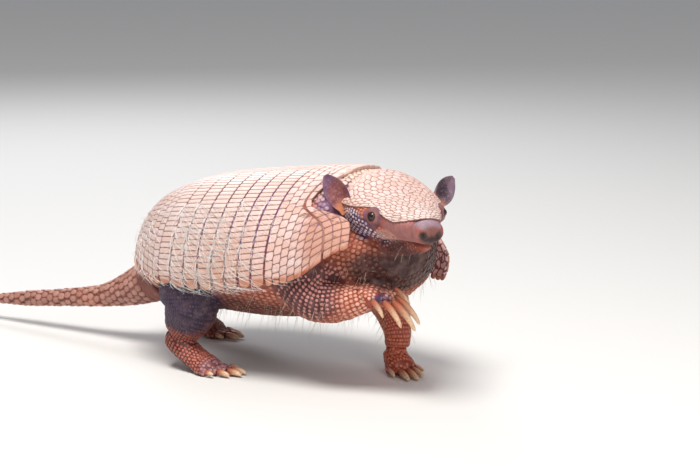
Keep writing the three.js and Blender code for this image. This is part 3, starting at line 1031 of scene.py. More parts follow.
def joinFlesh():
    whole = bmesh.new()
    d = -coatDepth
    chest = shareAt(108)
    addForm(whole, lambda s, a: formPoint(trunkForm, 0.004 + (chest - 0.004) * s, a, -fleshDepth), 40, 26)
    addForm(whole, napeForm, 48, 20)
    addForm(whole, lambda s, a: headPlace @ formPoint(headForm, 0.004 + 0.992 * s, a, d), 40, 34)
    addForm(whole, lambda s, a: headPlace @ formPoint(jawForm, 0.004 + 0.992 * s, a, d), 24, 20)
    upright = (0, 1, 0)
    addForm(whole, limbForm(neck["line"], neck["wide"], neck["deep"], upright, 0, 0.12, d), 32, 16)
    addForm(whole, limbForm(tail["line"], tail["radius"], tail["radius"], upright, 0, 0.03, d), 20, 40)
    for leg in legs.values():
        addForm(whole, limbForm(leg["line"], leg["wide"], leg["deep"], roundEnd=0.06, grow=d), 28, 24)
        foot = limbForm(leg["foot"], leg["footWide"], leg["footDeep"], roundStart=0.25, roundEnd=0.2, grow=d)
        addForm(whole, foot, 24, 16)
        for toe in toePlaces(leg):
            line, radius = toeLine(toe)
            addForm(whole, limbForm(line, radius, radius, toe["sideways"], 0, 0.12, d), 14, 10)
    bmesh.ops.recalc_face_normals(whole, faces=whole.faces[:])
    return meshOf(whole, "forms")


skinLook = {
    "voxel": 1.55,  # mm
    "smoothing": 4,
    "keep": 0.68,  # the share of all faces that is kept, and only hidden ones are thinned out
    "hiddenBy": 14,  # degrees above the shell's rim from where skin counts as hidden
    "ripple": 0.16,  # mm
}
tuck = {  # how the flesh is drawn in to fit the shell, with angles in degrees from its rim
    "reach": (0.06, 0.68),  # shares of the trunk
    "full": -8,  # flesh above this is wholly drawn in
    "leftRear": 60,  # behind this, on the left, flesh below the rim is drawn in too
    "fadeFrom": 3,
    "fadeOver": 17,
    "depth": 3.0,  # mm below the trunk's form
    "bulge": 0.3,  # mm less of that for each degree past the rim
}


def withModifiers(mesh, *modifiers, **groups):  # the mesh that the modifiers make of this one
    work = newObject("work", mesh, body=False)
    for name, numbers in groups.items():
        work.vertex_groups.new(name=name).add(numbers, 1.0, "REPLACE")
    for kind, settings in modifiers:
        modifier = work.modifiers.new(kind, kind)
        for key, value in settings.items():
            setattr(modifier, key, value)
    shaped = bpy.data.meshes.new_from_object(work.evaluated_get(bpy.context.evaluated_depsgraph_get()))
    bpy.data.objects.remove(work)
    bpy.data.meshes.remove(mesh)
    return shaped


def underShell(point):
    p = fromModel(point)
    if not -112 < p.x < 96:
        return False
    angle, rim = belowTop(point)
    return angle < rim - skinLook["hiddenBy"]


def tuckIn(point):  # flesh stays inside the shell, and on the far side it comes out from under the rim slowly
    p = fromModel(point)
    share = shareAt(p.x)
    if not tuck["reach"][0] < share < tuck["reach"][1]:
        return point
    angle, rim = belowTop(point)
    held = 1.0 if angle < rim + tuck["full"] else 0.0
    if p.y > 0 and p.x < tuck["leftRear"]:
        held = 1 - clamp((angle - rim - tuck["fadeFrom"]) / tuck["fadeOver"])
    grow = tuck["bulge"] * max(0.0, angle - rim + 2) - tuck["depth"]
    form = trunkForm
    end = (1 - abs(2 * share - 1) ** form["blunt"]) ** (1 / form["blunt"])
    middle = Vector((p.x, -form["turn"] * max(0.0, p.x) ** 2, form["axisHeight"](share)))
    off = p - middle
    reach = form["rise"](share) if off.z > 0 else form["drop"](share)
    far = math.hypot(off.y / ((form["halfWidth"](share) + grow) * end), off.z / ((reach + grow) * end))
    return point + (toModel(middle + off / far) - point) * held if far > 1 else point


def makeSkin():
    mesh = withModifiers(
        joinFlesh(),
        ("REMESH", {"mode": "VOXEL", "voxel_size": skinLook["voxel"] * mm, "use_smooth_shade": True}),
        ("SMOOTH", {"factor": 0.5, "iterations": skinLook["smoothing"]}),
    )
    hidden = [v.index for v in mesh.vertices if underShell(v.co)]
    return withModifiers(
        mesh,
        ("DECIMATE", {"ratio": skinLook["keep"], "vertex_group": "hidden"}),
        hidden=hidden,
    )


# the face, worked in the head's own frame, in mm

face = {
    "eyeAxis": (0.5, 0.84, 0.12),  # the way the left eye looks
    "socket": 5.6,
    "lid": [  # radius and height of each ring
        (3.6, 0.4),
        (3.6, 2.1),
        (3.85, 2.7),
        (4.4, 2.75),
        (4.9, 2.2),
        (5.2, 1.95),
        (5.8, 1.95),
        (6.4, 1.4),
        (7.1, 0.5),
        (8.0, -1.2),
    ],
    "crinkle": 0.1,
    "lidFurrow": 0.5,
    "brow": 0.9,
    "noseBulge": 1.5,
    "noseFold": 0.8,
    "nostril": {"place": (85.5, 7.0, -1.9), "size": 2.7, "depth": 3.4},
    "mouth": run(-17, -14.2, -12.2, -11.2, -10.8, -10.6),  # its height from x 24 to x 86
    "mouthDepth": 1.5,
    "lips": (0.7, 0.3),  # how far they stand out above and below the mouth
    "wrinkle": 0.32,
    "cheekWrinkle": 0.35,
}


def bell(distance, width):
    return math.exp(-((distance / width) ** 2))


def eyeFrame(side):
    centre = Vector(eyes[side])
    x, y, z = face["eyeAxis"]
    axis = Vector((x, y if side == "left" else -y, z)).normalized()
    return centre, axis


def faceMove(p, normal):  # how far a place on the head moves, both in the head's frame
    mirrored = Vector((p.x, abs(p.y), p.z))
    move = Vector()
    for side in ("right", "left"):
        centre, axis = eyeFrame(side)
        off = p - centre
        along = off.dot(axis)
        radial = (off - axis * along).length
        if radial < 11 and along > -6:
            sunk = 1 - clamp((radial - face["socket"]) / 3.5)
            move += axis * (min(0.4 - along, 0.0) * sunk)
            move -= axis * (face["lidFurrow"] * bell(radial - 8.8, 1.4))
            move += normal * (face["brow"] * bell(radial - 13, 3.0) * (1 if p.z > centre.z else 0.2))
    if p.x > 40:
        bulb = bell(p.x - 80, 5.5) - 0.9 * bell(p.x - 70.5, 3.0) * clamp((p.z + 6) / 6)
        fold = bell(p.x - 75.5 - 0.02 * p.y * p.y, 0.9) * clamp((p.z - 1) / 4)
        move += normal * (face["noseBulge"] * bulb * (0.4 if p.z < -6 else 1.0) - face["noseFold"] * fold)
        hole = (mirrored - Vector(face["nostril"]["place"])).length
        move.x -= face["nostril"]["depth"] * bell(hole, face["nostril"]["size"])
        move += normal * (0.7 * bell(hole - 4.6, 1.5))
        side = clamp((abs(p.y) - 3) / 8)
        ripple = math.sin(p.x * 2.1 + p.z * 0.35 + 1.5 * noise.noise(p * 0.12))
        move += normal * (face["wrinkle"] * ripple * bell(p.x - 60, 12) * side)
    if p.x > 18 and -24 < p.z < -2:
        off = mouthOff(p)
        move -= normal * (face["mouthDepth"] * bell(off, 1.2))
        upper, lower = face["lips"]
        move += normal * (upper * bell(off - 2.6, 1.6) + lower * bell(off + 2.6, 1.6))
    if p.x < 44 and p.z < 4:
        ripple = math.sin(0.95 * (mirrored.y * 0.5 - p.z) + 0.25 * p.x + 2.2 * noise.noise(p * 0.07))
        move += normal * (face["cheekWrinkle"] * ripple * clamp((44 - p.x) / 16))
    return move


def mouthOff(p):  # how far above the mouth's line a place is
    away = 20 * clamp((27 - p.x) / 5) + 0.12 * max(0.0, 6 - abs(p.y)) * (p.x < 70)
    return p.z - face["mouth"]((p.x - 24) / 62) + away


def creaseShadeAt(p):  # how much painted shade lies there, in the mouth's line, the nostrils and the nose's creases
    mirrored = Vector((p.x, abs(p.y), p.z))
    mouth = bell(mouthOff(p), 0.8)
    hole = (mirrored - Vector(face["nostril"]["place"])).length
    behind = bell(p.x - 70.5, 1.8) * clamp(p.z / 8) * 0.35
    arc = bell(p.x - 75.5 - 0.02 * p.y * p.y, 0.8) * clamp((p.z - 2) / 4) * 0.5
    return min(1.0, mouth + bell(hole, 2.2) + behind + arc)


def workFace(mesh):
    whole = bmesh.new()
    whole.from_mesh(mesh)

    def inHead(vert):
        p = modelToHead @ vert.co
        return p.x > 14 and abs(p.y) < 42 and -27 < p.z < 14 and not (p.x < 66 and p.z > 13)

    wanted = {v for v in whole.verts if inHead(v)}
    edges = [e for e in whole.edges if e.verts[0] in wanted and e.verts[1] in wanted]
    bmesh.ops.subdivide_edges(whole, edges=edges, cuts=1, use_grid_fill=True, smooth=0.0)
    finer = [v for v in whole.verts if inHead(v)]
    everyWay = {"use_axis_x": True, "use_axis_y": True, "use_axis_z": True}
    for _ in range(3):
        bmesh.ops.smooth_vert(whole, verts=finer, factor=0.5, **everyWay)
    whole.normal_update()
    turned = modelToHead.to_3x3().normalized()
    # the painted shade of the face's creases, for the leather's colour
    fold = whole.verts.layers.float.new("fold")
    moved = []
    for vert in whole.verts:
        p = modelToHead @ vert.co
        if p.x > -24 and p.length < 110 and p.z < 30 and abs(p.y) < 60:
            q = p + faceMove(p, (turned @ vert.normal).normalized())
            moved.append((vert, headToModel @ q))
            vert[fold] = creaseShadeAt(p)
        elif vert.co.z < 0.13:
            ripple = math.sin(vert.co.x * 1100 + vert.co.z * 500 + 3 * noise.noise(vert.co * 60))
            moved.append((vert, vert.co + vert.normal * (skinLook["ripple"] * mm * ripple)))
    for vert, place in moved:
        vert.co = place
    for vert in whole.verts:
        vert.co = tuckIn(vert.co)
        vert.co.z = max(vert.co.z, 0.0)
    tree = BVHTree.FromBMesh(whole)
    for side in ("right", "left"):
        addLid(whole, side)
        addEar(whole, side)
    for number in range(shell["bands"] + 1):
        middle = shell["firstBand"] - number * shell["bandPitch"]
        addFold(whole, lambda side, middle=middle: middle, foldLook["half"])
    addFold(whole, lambda side: shoulderLine(abs(side)) + 0.8, foldLook["napeHalf"])
    whole.to_mesh(mesh)
    whole.free()
    return tree


foldLook = {"half": 1.5, "napeHalf": 1.4, "depth": 0.35, "sag": 0.9, "ripple": 0.15, "thick": 0.8}  # in mm


def addFold(whole, line, half):  # the soft skin that shows between two plates
    strip = bmesh.new()
    for vert in grid(strip, 4, 72):
        along = vert.co.x / 2 - 1
        side = (vert.co.y / 36 - 1) * 0.95
        ripple = foldLook["ripple"] * math.sin(vert.co.y * 1.9)
        grow = -foldLook["depth"] - foldLook["sag"] * along * along + ripple
        vert.co = shellPoint(line(side) + along * half, side, grow)
    turnOut(strip, trunkCentre)
    bmesh.ops.solidify(strip, geom=strip.faces[:], thickness=foldLook["thick"] * mm)
    addTo(whole, strip)


def eyeSpace(side):  # a frame whose Z looks out of the eye, in mm
    centre, axis = eyeFrame(side)
    return headToModel @ Matrix.Translation(centre) @ axis.to_track_quat("Z", "Y").to_matrix().to_4x4()


def addEar(whole, side):
    before = set(whole.faces)
    addForm(whole, earForm(side), 44, 40)
    bmesh.ops.recalc_face_normals(whole, faces=[f for f in whole.faces if f not in before])


def addLid(whole, side):
    space = eyeSpace(side)
    radius, height = face["lid"][0]
    ring = bmesh.ops.create_circle(whole, segments=44, radius=radius)["verts"]
    places = {}
    for vert in ring:
        places[vert] = (vert.co.normalized(), radius, height)
    edges = list({e for v in ring for e in v.link_edges})
    for radius, height in face["lid"][1:]:
        made = bmesh.ops.extrude_edge_only(whole, edges=edges)["geom"]
        newest = ofKind(made, bmesh.types.BMVert)
        for vert in newest:
            direction = Vector((vert.co.x, vert.co.y, 0)).normalized()
            vert.co = direction
            places[vert] = (direction, radius, height)
        edges = [e for e in ofKind(made, bmesh.types.BMEdge) if all(v in newest for v in e.verts)]
    for vert, (direction, radius, height) in places.items():
        turn = math.atan2(direction.y, direction.x)
        narrow = 1 - 0.16 * math.sin(turn) ** 2 * bell(radius - 3, 2.5)
        crinkle = math.sin(9 * turn + 2 * noise.noise(direction * 3)) * clamp((radius - 3.6) / 3)
        height += face["crinkle"] * crinkle
        vert.co = space @ Vector((direction.x * radius, direction.y * radius * narrow, height))
    faces = list({f for v in places for f in v.link_faces})
    bmesh.ops.recalc_face_normals(whole, faces=faces)
    whole.normal_update()
    out = (space.to_3x3() @ Vector((0, 0, 1))).normalized()
    if sum(f.normal.dot(out) for f in faces) < 0:
        bmesh.ops.reverse_faces(whole, faces=faces)
    for f in faces:
        f.smooth = True


skinMesh = makeSkin()
skinTree = workFace(skinMesh)  # without the ears and lids, for laying scales and hairs
skinMesh.name = "skin"
skinMesh.shade_smooth()
print("skin triangles", sum(len(p.vertices) - 2 for p in skinMesh.polygons))
print("stage: skin")

skin = newObject("skin", skinMesh)
parts = ["trunk", "neck", "head", "jaw", "tail_root", "tail_middle", "tail_tip", "ear_right", "ear_left"]
parts += [f"{leg}_{part}" for leg in legs for part in ("leg", "foot")]
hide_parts(*parts)

# the eyes

eyeLook = {"pupil": 1.7, "iris": 2.9, "cornea": 0.35}
eyeTones = {"pupil": (8, 6, 8), "iris": (44, 24, 16), "darkIris": (24, 14, 12), "white": (70, 44, 38)}


def eyeMaterial(side):
    m = Maker("eye_" + side, eyeTones)
    centre, axis = eyeFrame(side)
    front = headToModel @ (centre + axis * eyes["radius"])
    away = m.math("MULTIPLY", m.vector("DISTANCE", {0: m.place, 1: front}, "Value"), 1 / mm)
    iris = m.mix(m.noise(1500, 4, 0.7), m.tone("iris"), m.tone("darkIris"))
    inPupil = m.spread(away, eyeLook["pupil"] - 0.2, eyeLook["pupil"] + 0.2)
    m.colour = m.mix(inPupil, m.tone("pupil"), iris)
    m.lay(m.spread(away, eyeLook["iris"] - 0.2, eyeLook["iris"] + 0.5), "white")
    return m.finish(0.2, Coat_Weight=0.15, Coat_Roughness=0.05)


def makeEye(side):
    ball = bmesh.new()
    for vert in bmesh.ops.create_uvsphere(ball, u_segments=32, v_segments=20, radius=eyes["radius"])["verts"]:
        if vert.co.z > 0:
            vert.co.z += eyeLook["cornea"] * bell(math.hypot(vert.co.x, vert.co.y), eyeLook["iris"])
    ball.transform(eyeSpace(side))
    name = "eyeball_" + side
    piece = smoothPiece(name, meshOf(ball, name), eyeMaterial(side))
    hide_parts("eye_" + side)


for side in ("right", "left"):
    makeEye(side)
print("stage: eyes")

# the claws

clawLook = {
    "sides": 18,
    "steps": 22,
    "ridges": 0.025,
    "wide": (3.1, 1.9, 2.4),  # at the root, how much less at the tip, and how late it thins
    "deep": (3.5, 2.2, 2.2),
    "hollow": 0.25,
}
clawTones = {
    "root": (178, 92, 62),
    "tip": (232, 196, 160),
    "streak": (150, 84, 62),
    "below": (128, 66, 46),
    "quick": (96, 58, 44),
}


def clawMaterial():
    m = Maker("claw", clawTones)
    far = m.attribute("far")
    streak = m.noise(700, 4, 0.6)
    m.colour = m.mix(m.spread(far, 0.1, 0.75), m.tone("root"), m.tone("tip"))
    m.lay(m.spread(streak, 0.45, 0.7), "streak", 0.5)
    m.lay(m.spread(m.attribute("below"), 0.35, 0.9), "below", 0.75)
    m.lay(m.spread(far, 0.16, 0.0, 0.0, 0.8), "quick")
    return m.finish(m.spread(streak, 0.3, 0.7, 0.28, 0.45), m.bump(m.noise(1100, 4, 0.6), 0.3, 0.0003))


claw = clawMaterial()


def clawForm(toe):
    start, along, down = toe["start"], toe["along"], toe["down"]
    points = []
    for far in (0, 0.35, 0.7, 1):
        ahead = along * (toe["reach"] + 0.9 + toe["length"] * far * (1 - 0.12 * far))
        points.append(start + ahead + down * (toe["drop"] * far * far - 0.8))
    curve = smoothLine(points)

    def place(share, angle):
        centre, heading = curve(0.001 + 0.998 * share)
        up = heading.cross(toe["sideways"]).normalized()
        if up.dot(down) > 0:
            up = -up
        side = up.cross(heading).normalized()
        wide, deep = (root - less * share**late for root, less, late in (clawLook["wide"], clawLook["deep"]))
        size = 1.0
        if share < 0.03:
            size = math.sqrt(1 - (1 - share / 0.03) ** 2)
        if share > 0.9:
            size = math.sqrt(max(0.0, 1 - ((share - 0.9) / 0.1) ** 2)) * 0.96 + 0.04
        pinch = 1 - clawLook["hollow"] * max(0.0, -math.cos(angle)) ** 3  # hollow below
        size *= toe["thick"] * (1 + clawLook["ridges"] * math.sin(share * 34) * (1 - share)) * 0.97
        return centre + (side * wide * math.sin(angle) + up * deep * math.cos(angle) * pinch * 0.92) * size

    return place


def makeClaws(name):
    whole = bmesh.new()
    far = whole.verts.layers.float.new("far")
    below = whole.verts.layers.float.new("below")
    sides, steps = clawLook["sides"], clawLook["steps"]
    for toe in toePlaces(legs[name]):
        form = clawForm(toe)
        for vert in bmesh.ops.create_uvsphere(whole, u_segments=sides, v_segments=steps, radius=1)["verts"]:
            share = math.acos(min(max(vert.co.z, -1.0), 1.0)) / math.pi
            angle = math.atan2(vert.co.x, vert.co.y)
            vert[far] = share
            vert[below] = max(0.0, -math.cos(angle))
            spot = form(share, angle)
            if abs(vert.co.z) > 0.9999:
                spot = (spot + form(share, angle + math.pi)) / 2
            vert.co = toModel(spot)
            vert.co.z = max(vert.co.z, 0.0)
    bmesh.ops.recalc_face_normals(whole, faces=whole.faces[:])
    piece = smoothPiece("claws_" + name, meshOf(whole, "claws_" + name), claw)
    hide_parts(*[f"{name}_claw_{i}" for i in range(1, 6)])


for name in legs:
    makeClaws(name)
print("stage: claws")

# the scales on the skin

scaleLook = {  # pairs tell how far apart the scales lie and how wide they are, in mm
    "sides": 8,
    "leg": (2.6, 2.6),
    "thigh": 2.25,
    "arm": (3.8, 3.4),
    "upperArm": 2.9,
    "foot": (3.2, 2.9),
    "toe": (3.4, 3.3),
    "tail": (6.8, 6.7),
    "belly": (5.2, 3.6),
    "cheek": (3.4, 2.9),
    "muzzle": 1.7,
    "jaw": (3.6, 2.2),
    "neck": (4.5, 3.7),
    "nape": (5.0, 4.9),
    "stray": 0.12,  # how far a scale strays along its row, as a share of the spacing
    "sizes": (0.88, 1.1),
    "room": 0.62,  # the least distance between two scales, as a share of the spacing
    "reach": 9.0,  # mm from which the rays look for the skin
}


def scaleShape():  # one low oval scale, of radius 1 and height 1
    shape = bmesh.new()
    bmesh.ops.create_circle(shape, cap_ends=True, segments=scaleLook["sides"], radius=1)
    for vert in shape.verts:
        vert.co.z = -0.5
    bottom = shape.faces[:]
    upper = bmesh.ops.extrude_face_region(shape, geom=bottom)["geom"]
    for vert in ofKind(upper, bmesh.types.BMVert):
        vert.co = (vert.co.x * 0.93, vert.co.y * 0.93, 0.45)
    top = ofKind(upper, bmesh.types.BMFace)
    bmesh.ops.inset_region(shape, faces=top, thickness=0.34, depth=0.45)
    bmesh.ops.poke(shape, faces=top, offset=0.1)
    bmesh.ops.recalc_face_normals(shape, faces=shape.faces[:])
    return meshOf(shape, "scaleShape")


def manyOf(shape, count):  # one joined mesh of equal copies, one after another
    return withModifiers(
        shape,
        ("ARRAY", {"count": count, "use_relative_offset": False, "use_constant_offset": True}),
    )


patchSize = 0.0015  # of one copy on the unwrap, from 0 to 1


def bakePatches(mesh, local, places):  # each copy's patch lies at its root's place on the body's unwrap
    layer = mesh.uv_layers.new(name="OFBake")
    values = []
    for loop in mesh.loops:
        number, vert = divmod(loop.vertex_index, len(local))
        values += [at + off * patchSize for at, off in zip(places[number], local[vert])]
    layer.data.foreach_set("uv", values)


def makeScales(name, roots):  # roots: place, normal, along, length, width, height, u, v
    shape = scaleShape()
    local = [tuple(v.co) for v in shape.vertices]
    mesh = manyOf(shape, len(roots))
    mesh.name = name
    coords, tints, crowns = [], [], []
    for place, normal, along, length, width, height, u, v in roots:
        side = normal.cross(along).normalized()
        ahead = side.cross(normal).normalized()
        lift = (normal + ahead * -0.12).normalized()
        tint = dice.random()
        for x, y, z in local:
            rise = z * height + 0.22 * x * height - 0.12  # the free edge stands a little higher
            coords.extend(place + (ahead * (x * length) + side * (y * width) + lift * rise) * mm)
            tints.append(tint)
            crowns.append(min(max(z + 0.5, 0.0), 1.5) / 1.5)
    mesh.vertices.foreach_set("co", coords)
    for attribute, values in (("tint", tints), ("crown", crowns)):
        mesh.attributes.new(attribute, "FLOAT", "POINT").data.foreach_set("value", values)
    bakePatches(mesh, local, [root[6:8] for root in roots])
    piece = smoothPiece(name, mesh, scales)
    print(name, len(roots))


outerGap = scaleLook["reach"]
taken = {}
full = (0.0, 2 * math.pi)


def layScales(  # rows of scales over a form, where rays from the outer form to the inner one meet the skin
    outer,
    inner,
    shares,  # where the rows start and end along the form
    angles,
    pitch,
    size,
    keep=None,
    slack=2.6,
    chart=(0, 0, 1, 1),
    shapely=1.25,
    flat=0.16,
):
    roots = []
    share, last = shares
    row = 0
    stray = scaleLook["stray"]

    def surface(share, angle):
        high, low = outer(share, angle), inner(share, angle)
        return high + (low - high).normalized() * outerGap

    while share < last:
        a, b = angles(share) if callable(angles) else angles
        ring = [surface(share, a + (b - a) * i / 24) for i in range(25)]
        girth = sum((q - p).length for p, q in zip(ring, ring[1:]))
        count = max(3, round(girth / pitch))
        for i in range(count):
            angle = a + (b - a) * ((i + 0.5 * (row % 2) + dice.uniform(-stray, stray)) / count)
            at = share + dice.uniform(-0.0015, 0.0015)
            start, end = toModel(outer(at, angle)), toModel(inner(at, angle))
            place, normal = castTo(start, end)
            if place is None or abs((place - start).length / mm - outerGap) > slack:
                continue
            along = toModel(outer(min(at + 0.01, 1.0), angle)) - toModel(outer(max(at - 0.01, 0.0), angle))
            along = (along - normal * along.dot(normal)).normalized()
            if keep and not keep(place, normal):
                continue
            width = (size(place) if callable(size) else size) * dice.uniform(*scaleLook["sizes"])
            u = chart[0] + chart[2] * at
            v = chart[1] + chart[3] * (angle / (2 * math.pi) % 1.0)
            if not crowded(place, scaleLook["room"] * pitch * mm):
                sizes = width * shapely / 2, width / 2, width * flat + 0.12
                roots.append((place, normal, along, *sizes, u, v))
        ahead = [surface(min(share + 0.01, 1.0), a + (b - a) * i / 8) for i in range(8)]
        span = sum((p - q).length for p, q in zip(ahead, ring[::3])) / 8
        share += 0.01 * pitch * 0.86 * shapely / max(span, 0.1)
        row += 1
    return roots


def castTo(start, end):  # where a ray meets the skin, and which way the skin faces there
    ray = end - start
    return skinTree.ray_cast(start, ray.normalized(), ray.length)[:2]


def crowded(place, room, cell=0.004):  # whether a scale already lies too near
    key = tuple(math.floor(c / cell) for c in place)
    around = [(i, j, k) for i in (-1, 0, 1) for j in (-1, 0, 1) for k in (-1, 0, 1)]
    for i, j, k in around:
        for other in taken.get((key[0] + i, key[1] + j, key[2] + k), ()):
            if (other - place).length < room:
                return True
    taken.setdefault(key, []).append(place)
    return False


def limbRoots(
    line, wide, deep, across, pitch, size, shares=(0.02, 0.97), chart=(0, 0, 1, 1), keep=None, slack=2.6
):
    outer = limbForm(line, wide, deep, across, 0, 0, grow=outerGap)
    curve = smoothLine(line)
    inner = lambda share, angle: curve(share)[0]
    return layScales(outer, inner, shares, full, pitch, size, keep, slack, chart)


def legRoots(name):
    leg = legs[name]
    raised = name == "fore_right"
    pitch, width = scaleLook["arm" if raised else "leg"]

    def size(place):
        if raised:
            return scaleLook["upperArm"] if place.x < 0.175 else width
        return scaleLook["thigh"] if place.z > 0.036 else width

    upright = (0, 1, 0)
    chart = (0.02, 0.02, 0.55, 0.96)
    roots = limbRoots(leg["line"], leg["wide"], leg["deep"], upright, pitch, size, (0.04, 0.97), chart)
    roots += limbRoots(
        leg["foot"],
        leg["footWide"],
        leg["footDeep"],
        upright,
        *scaleLook["foot"],
        (0.06, 0.96),
        (0.60, 0.02, 0.20, 0.96),
        lambda place, normal: normal.z > -0.45 and place.z > 0.003,
    )
    for i, toe in enumerate(toePlaces(leg)):
        line, radius = toeLine(toe)
        roots += limbRoots(
            line,
            radius,
            radius,
            toe["sideways"],
            *scaleLook["toe"],
            (0.35, 0.97),
            (0.82 + 0.03 * i, 0.02, 0.025, 0.96),
            lambda place, normal: normal.z > -0.3 and place.z > 0.002,
            2.0,
        )
    return roots


regions = [  # centre and half sizes in m, the skin's colour and the scales' colour there
    ((0.056, 0.0, 0.150), (0.078, 0.12, 0.068), (136, 104, 184), (180, 140, 150)),
    # the belly: its own dark red-brown, darkened further with painted shade from being underneath
    ((0.050, 0.0, 0.050), (0.10, 0.12, 0.036), (64, 20, 12), (142, 70, 46)),
    ((-0.095, 0.0, 0.060), (0.07, 0.06, 0.030), (140, 80, 68), (190, 138, 122)),
    ((-0.220, 0.0, 0.030), (0.09, 0.06, 0.030), (132, 76, 64), (186, 132, 116)),
    # the near hind thigh and shank: their own violet and red, darkened further with painted shade under the
    # shell
    ((0.010, -0.070, 0.062), (0.046, 0.030, 0.031), (32, 10, 38), (62, 34, 78)),
    ((0.008, -0.068, 0.024), (0.022, 0.024, 0.014), (72, 15, 10), (172, 86, 68)),
    ((0.034, -0.064, 0.008), (0.036, 0.026, 0.018), (92, 20, 16), (198, 112, 92)),
    ((0.048, -0.063, 0.006), (0.016, 0.024, 0.012), (116, 66, 78), (180, 126, 124)),
    ((-0.030, 0.055, 0.040), (0.080, 0.034, 0.055), (112, 44, 32), (166, 98, 74)),
    ((0.145, -0.076, 0.088), (0.036, 0.032, 0.026), (76, 26, 32), (214, 142, 132)),
    ((0.196, -0.062, 0.084), (0.030, 0.026, 0.021), (172, 70, 42), (238, 184, 160)),
    ((0.211, -0.066, 0.082), (0.010, 0.014, 0.010), (84, 58, 96), (150, 120, 152)),
    ((0.172, 0.030, 0.040), (0.030, 0.030, 0.050), (150, 50, 30), (212, 124, 92)),
    # the throat: a painted shadow under the head, over its own red-brown
    ((0.205, -0.030, 0.106), (0.046, 0.050, 0.022), (58, 17, 11), (94, 38, 27)),
    ((0.235, -0.010, 0.110), (0.040, 0.050, 0.018), (54, 13, 9), (86, 30, 21)),
    ((0.2295, -0.040, 0.1285), (0.034, 0.034, 0.010), (70, 22, 22), (118, 54, 46)),
    ((0.160, -0.086, 0.155), (0.030, 0.014, 0.036), (172, 124, 110), (226, 172, 150)),
    ((0.156, -0.050, 0.156), (0.016, 0.020, 0.016), (88, 58, 104), (180, 140, 158)),
    ((0.170, -0.048, 0.168), (0.010, 0.012, 0.012), (164, 88, 56), (226, 160, 112)),
    ((0.150, -0.010, 0.180), (0.040, 0.070, 0.022), (190, 150, 132), (232, 208, 194)),
    ((0.176, -0.062, 0.148), (0.013, 0.014, 0.012), (84, 50, 98), (244, 230, 234)),
    ((0.190, -0.062, 0.141), (0.015, 0.014, 0.010), (80, 46, 92), (246, 230, 234)),
    ((0.207, -0.060, 0.138), (0.012, 0.012, 0.008), (100, 58, 84), (240, 216, 214)),
]


coatTones = {
    "skin": (156, 70, 46),
    "scale": (208, 134, 106),
    "joint": (60, 26, 26),
    "speck": (250, 226, 200),
    "eyeRim": (120, 76, 86),
    "lid": (158, 92, 84),
    "lidEdge": (34, 18, 22),
    "rightEar": (112, 72, 104),
    "leftEar": (106, 84, 104),
    "rightHollow": (132, 66, 62),
    "leftHollow": (62, 44, 60),
    "earSpots": (176, 140, 160),
    "earRoot": (196, 122, 80),
    "crack": (20, 8, 12),
    # painted shade in the face's creases
    "fold": (62, 28, 30),
    "mottle": (250, 200, 190),
}
cheekPatches = [  # centre in the head's frame in mm, half sizes in m, colour, where its edge starts and ends
    ((60, 13, -1), (0.024, 0.024, 0.012), (168, 106, 102), 0.75, 1.15),
    ((40, 20, -9), (0.012, 0.012, 0.007), (200, 150, 140), 0.75, 1.15),
    ((23, 35, 2), (0.012, 0.012, 0.008), (112, 74, 106), 0.75, 1.15),
]
nosePatches = [
    ((78, 0, 8), (0.012, 0.013, 0.008), (152, 124, 138), 0.75, 1.15),
    ((87, 0, -1), (0.008, 0.010, 0.008), (132, 78, 68), 0.6, 1.2),
    # painted shade under the nose and in the nostrils
    ((86, 0, -6.5), (0.009, 0.013, 0.0055), (54, 26, 30), 0.5, 1.2),
    ((84.5, -7, -2), (0.0038, 0.0038, 0.0038), (26, 12, 14), 0.6, 1.25),
    ((84.5, 7, -2), (0.0038, 0.0038, 0.0038), (26, 12, 14), 0.6, 1.25),
]


def regionColour(m, which, colour):  # which: 2 for the skin, 3 for the scales
    place = m.wobbled(60, 0.012)
    for region in regions:
        colour = m.mix(m.near(region[0], region[1], 0.7, 1.2, place), colour, rgb(*region[which]))
    return colour


def scaleMaterial():
    m = Maker("scales", coatTones)
    under = regionColour(m, 2, m.tone("skin"))
    m.colour = regionColour(m, 3, m.tone("scale"))
    m.lay(m.spread(m.attribute("tint"), 0.0, 1.0, 0.0, 0.4), under)
    crown = m.attribute("crown")
    m.colour = m.mix(m.spread(crown, 0.55, 0.96), m.mix(0.35, under, m.colour), m.colour)
    m.colour = m.mix(m.spread(crown, 0.1, 0.6), m.mix(0.5, under, m.tone("joint")), m.colour)
    m.lay(m.spread(m.noise(900, 3, 0.7), 0.5, 0.8), "speck", 0.3)
    return m.finish(0.42, m.bump(m.noise(1400, 3, 0.6), 0.3, 0.0003))


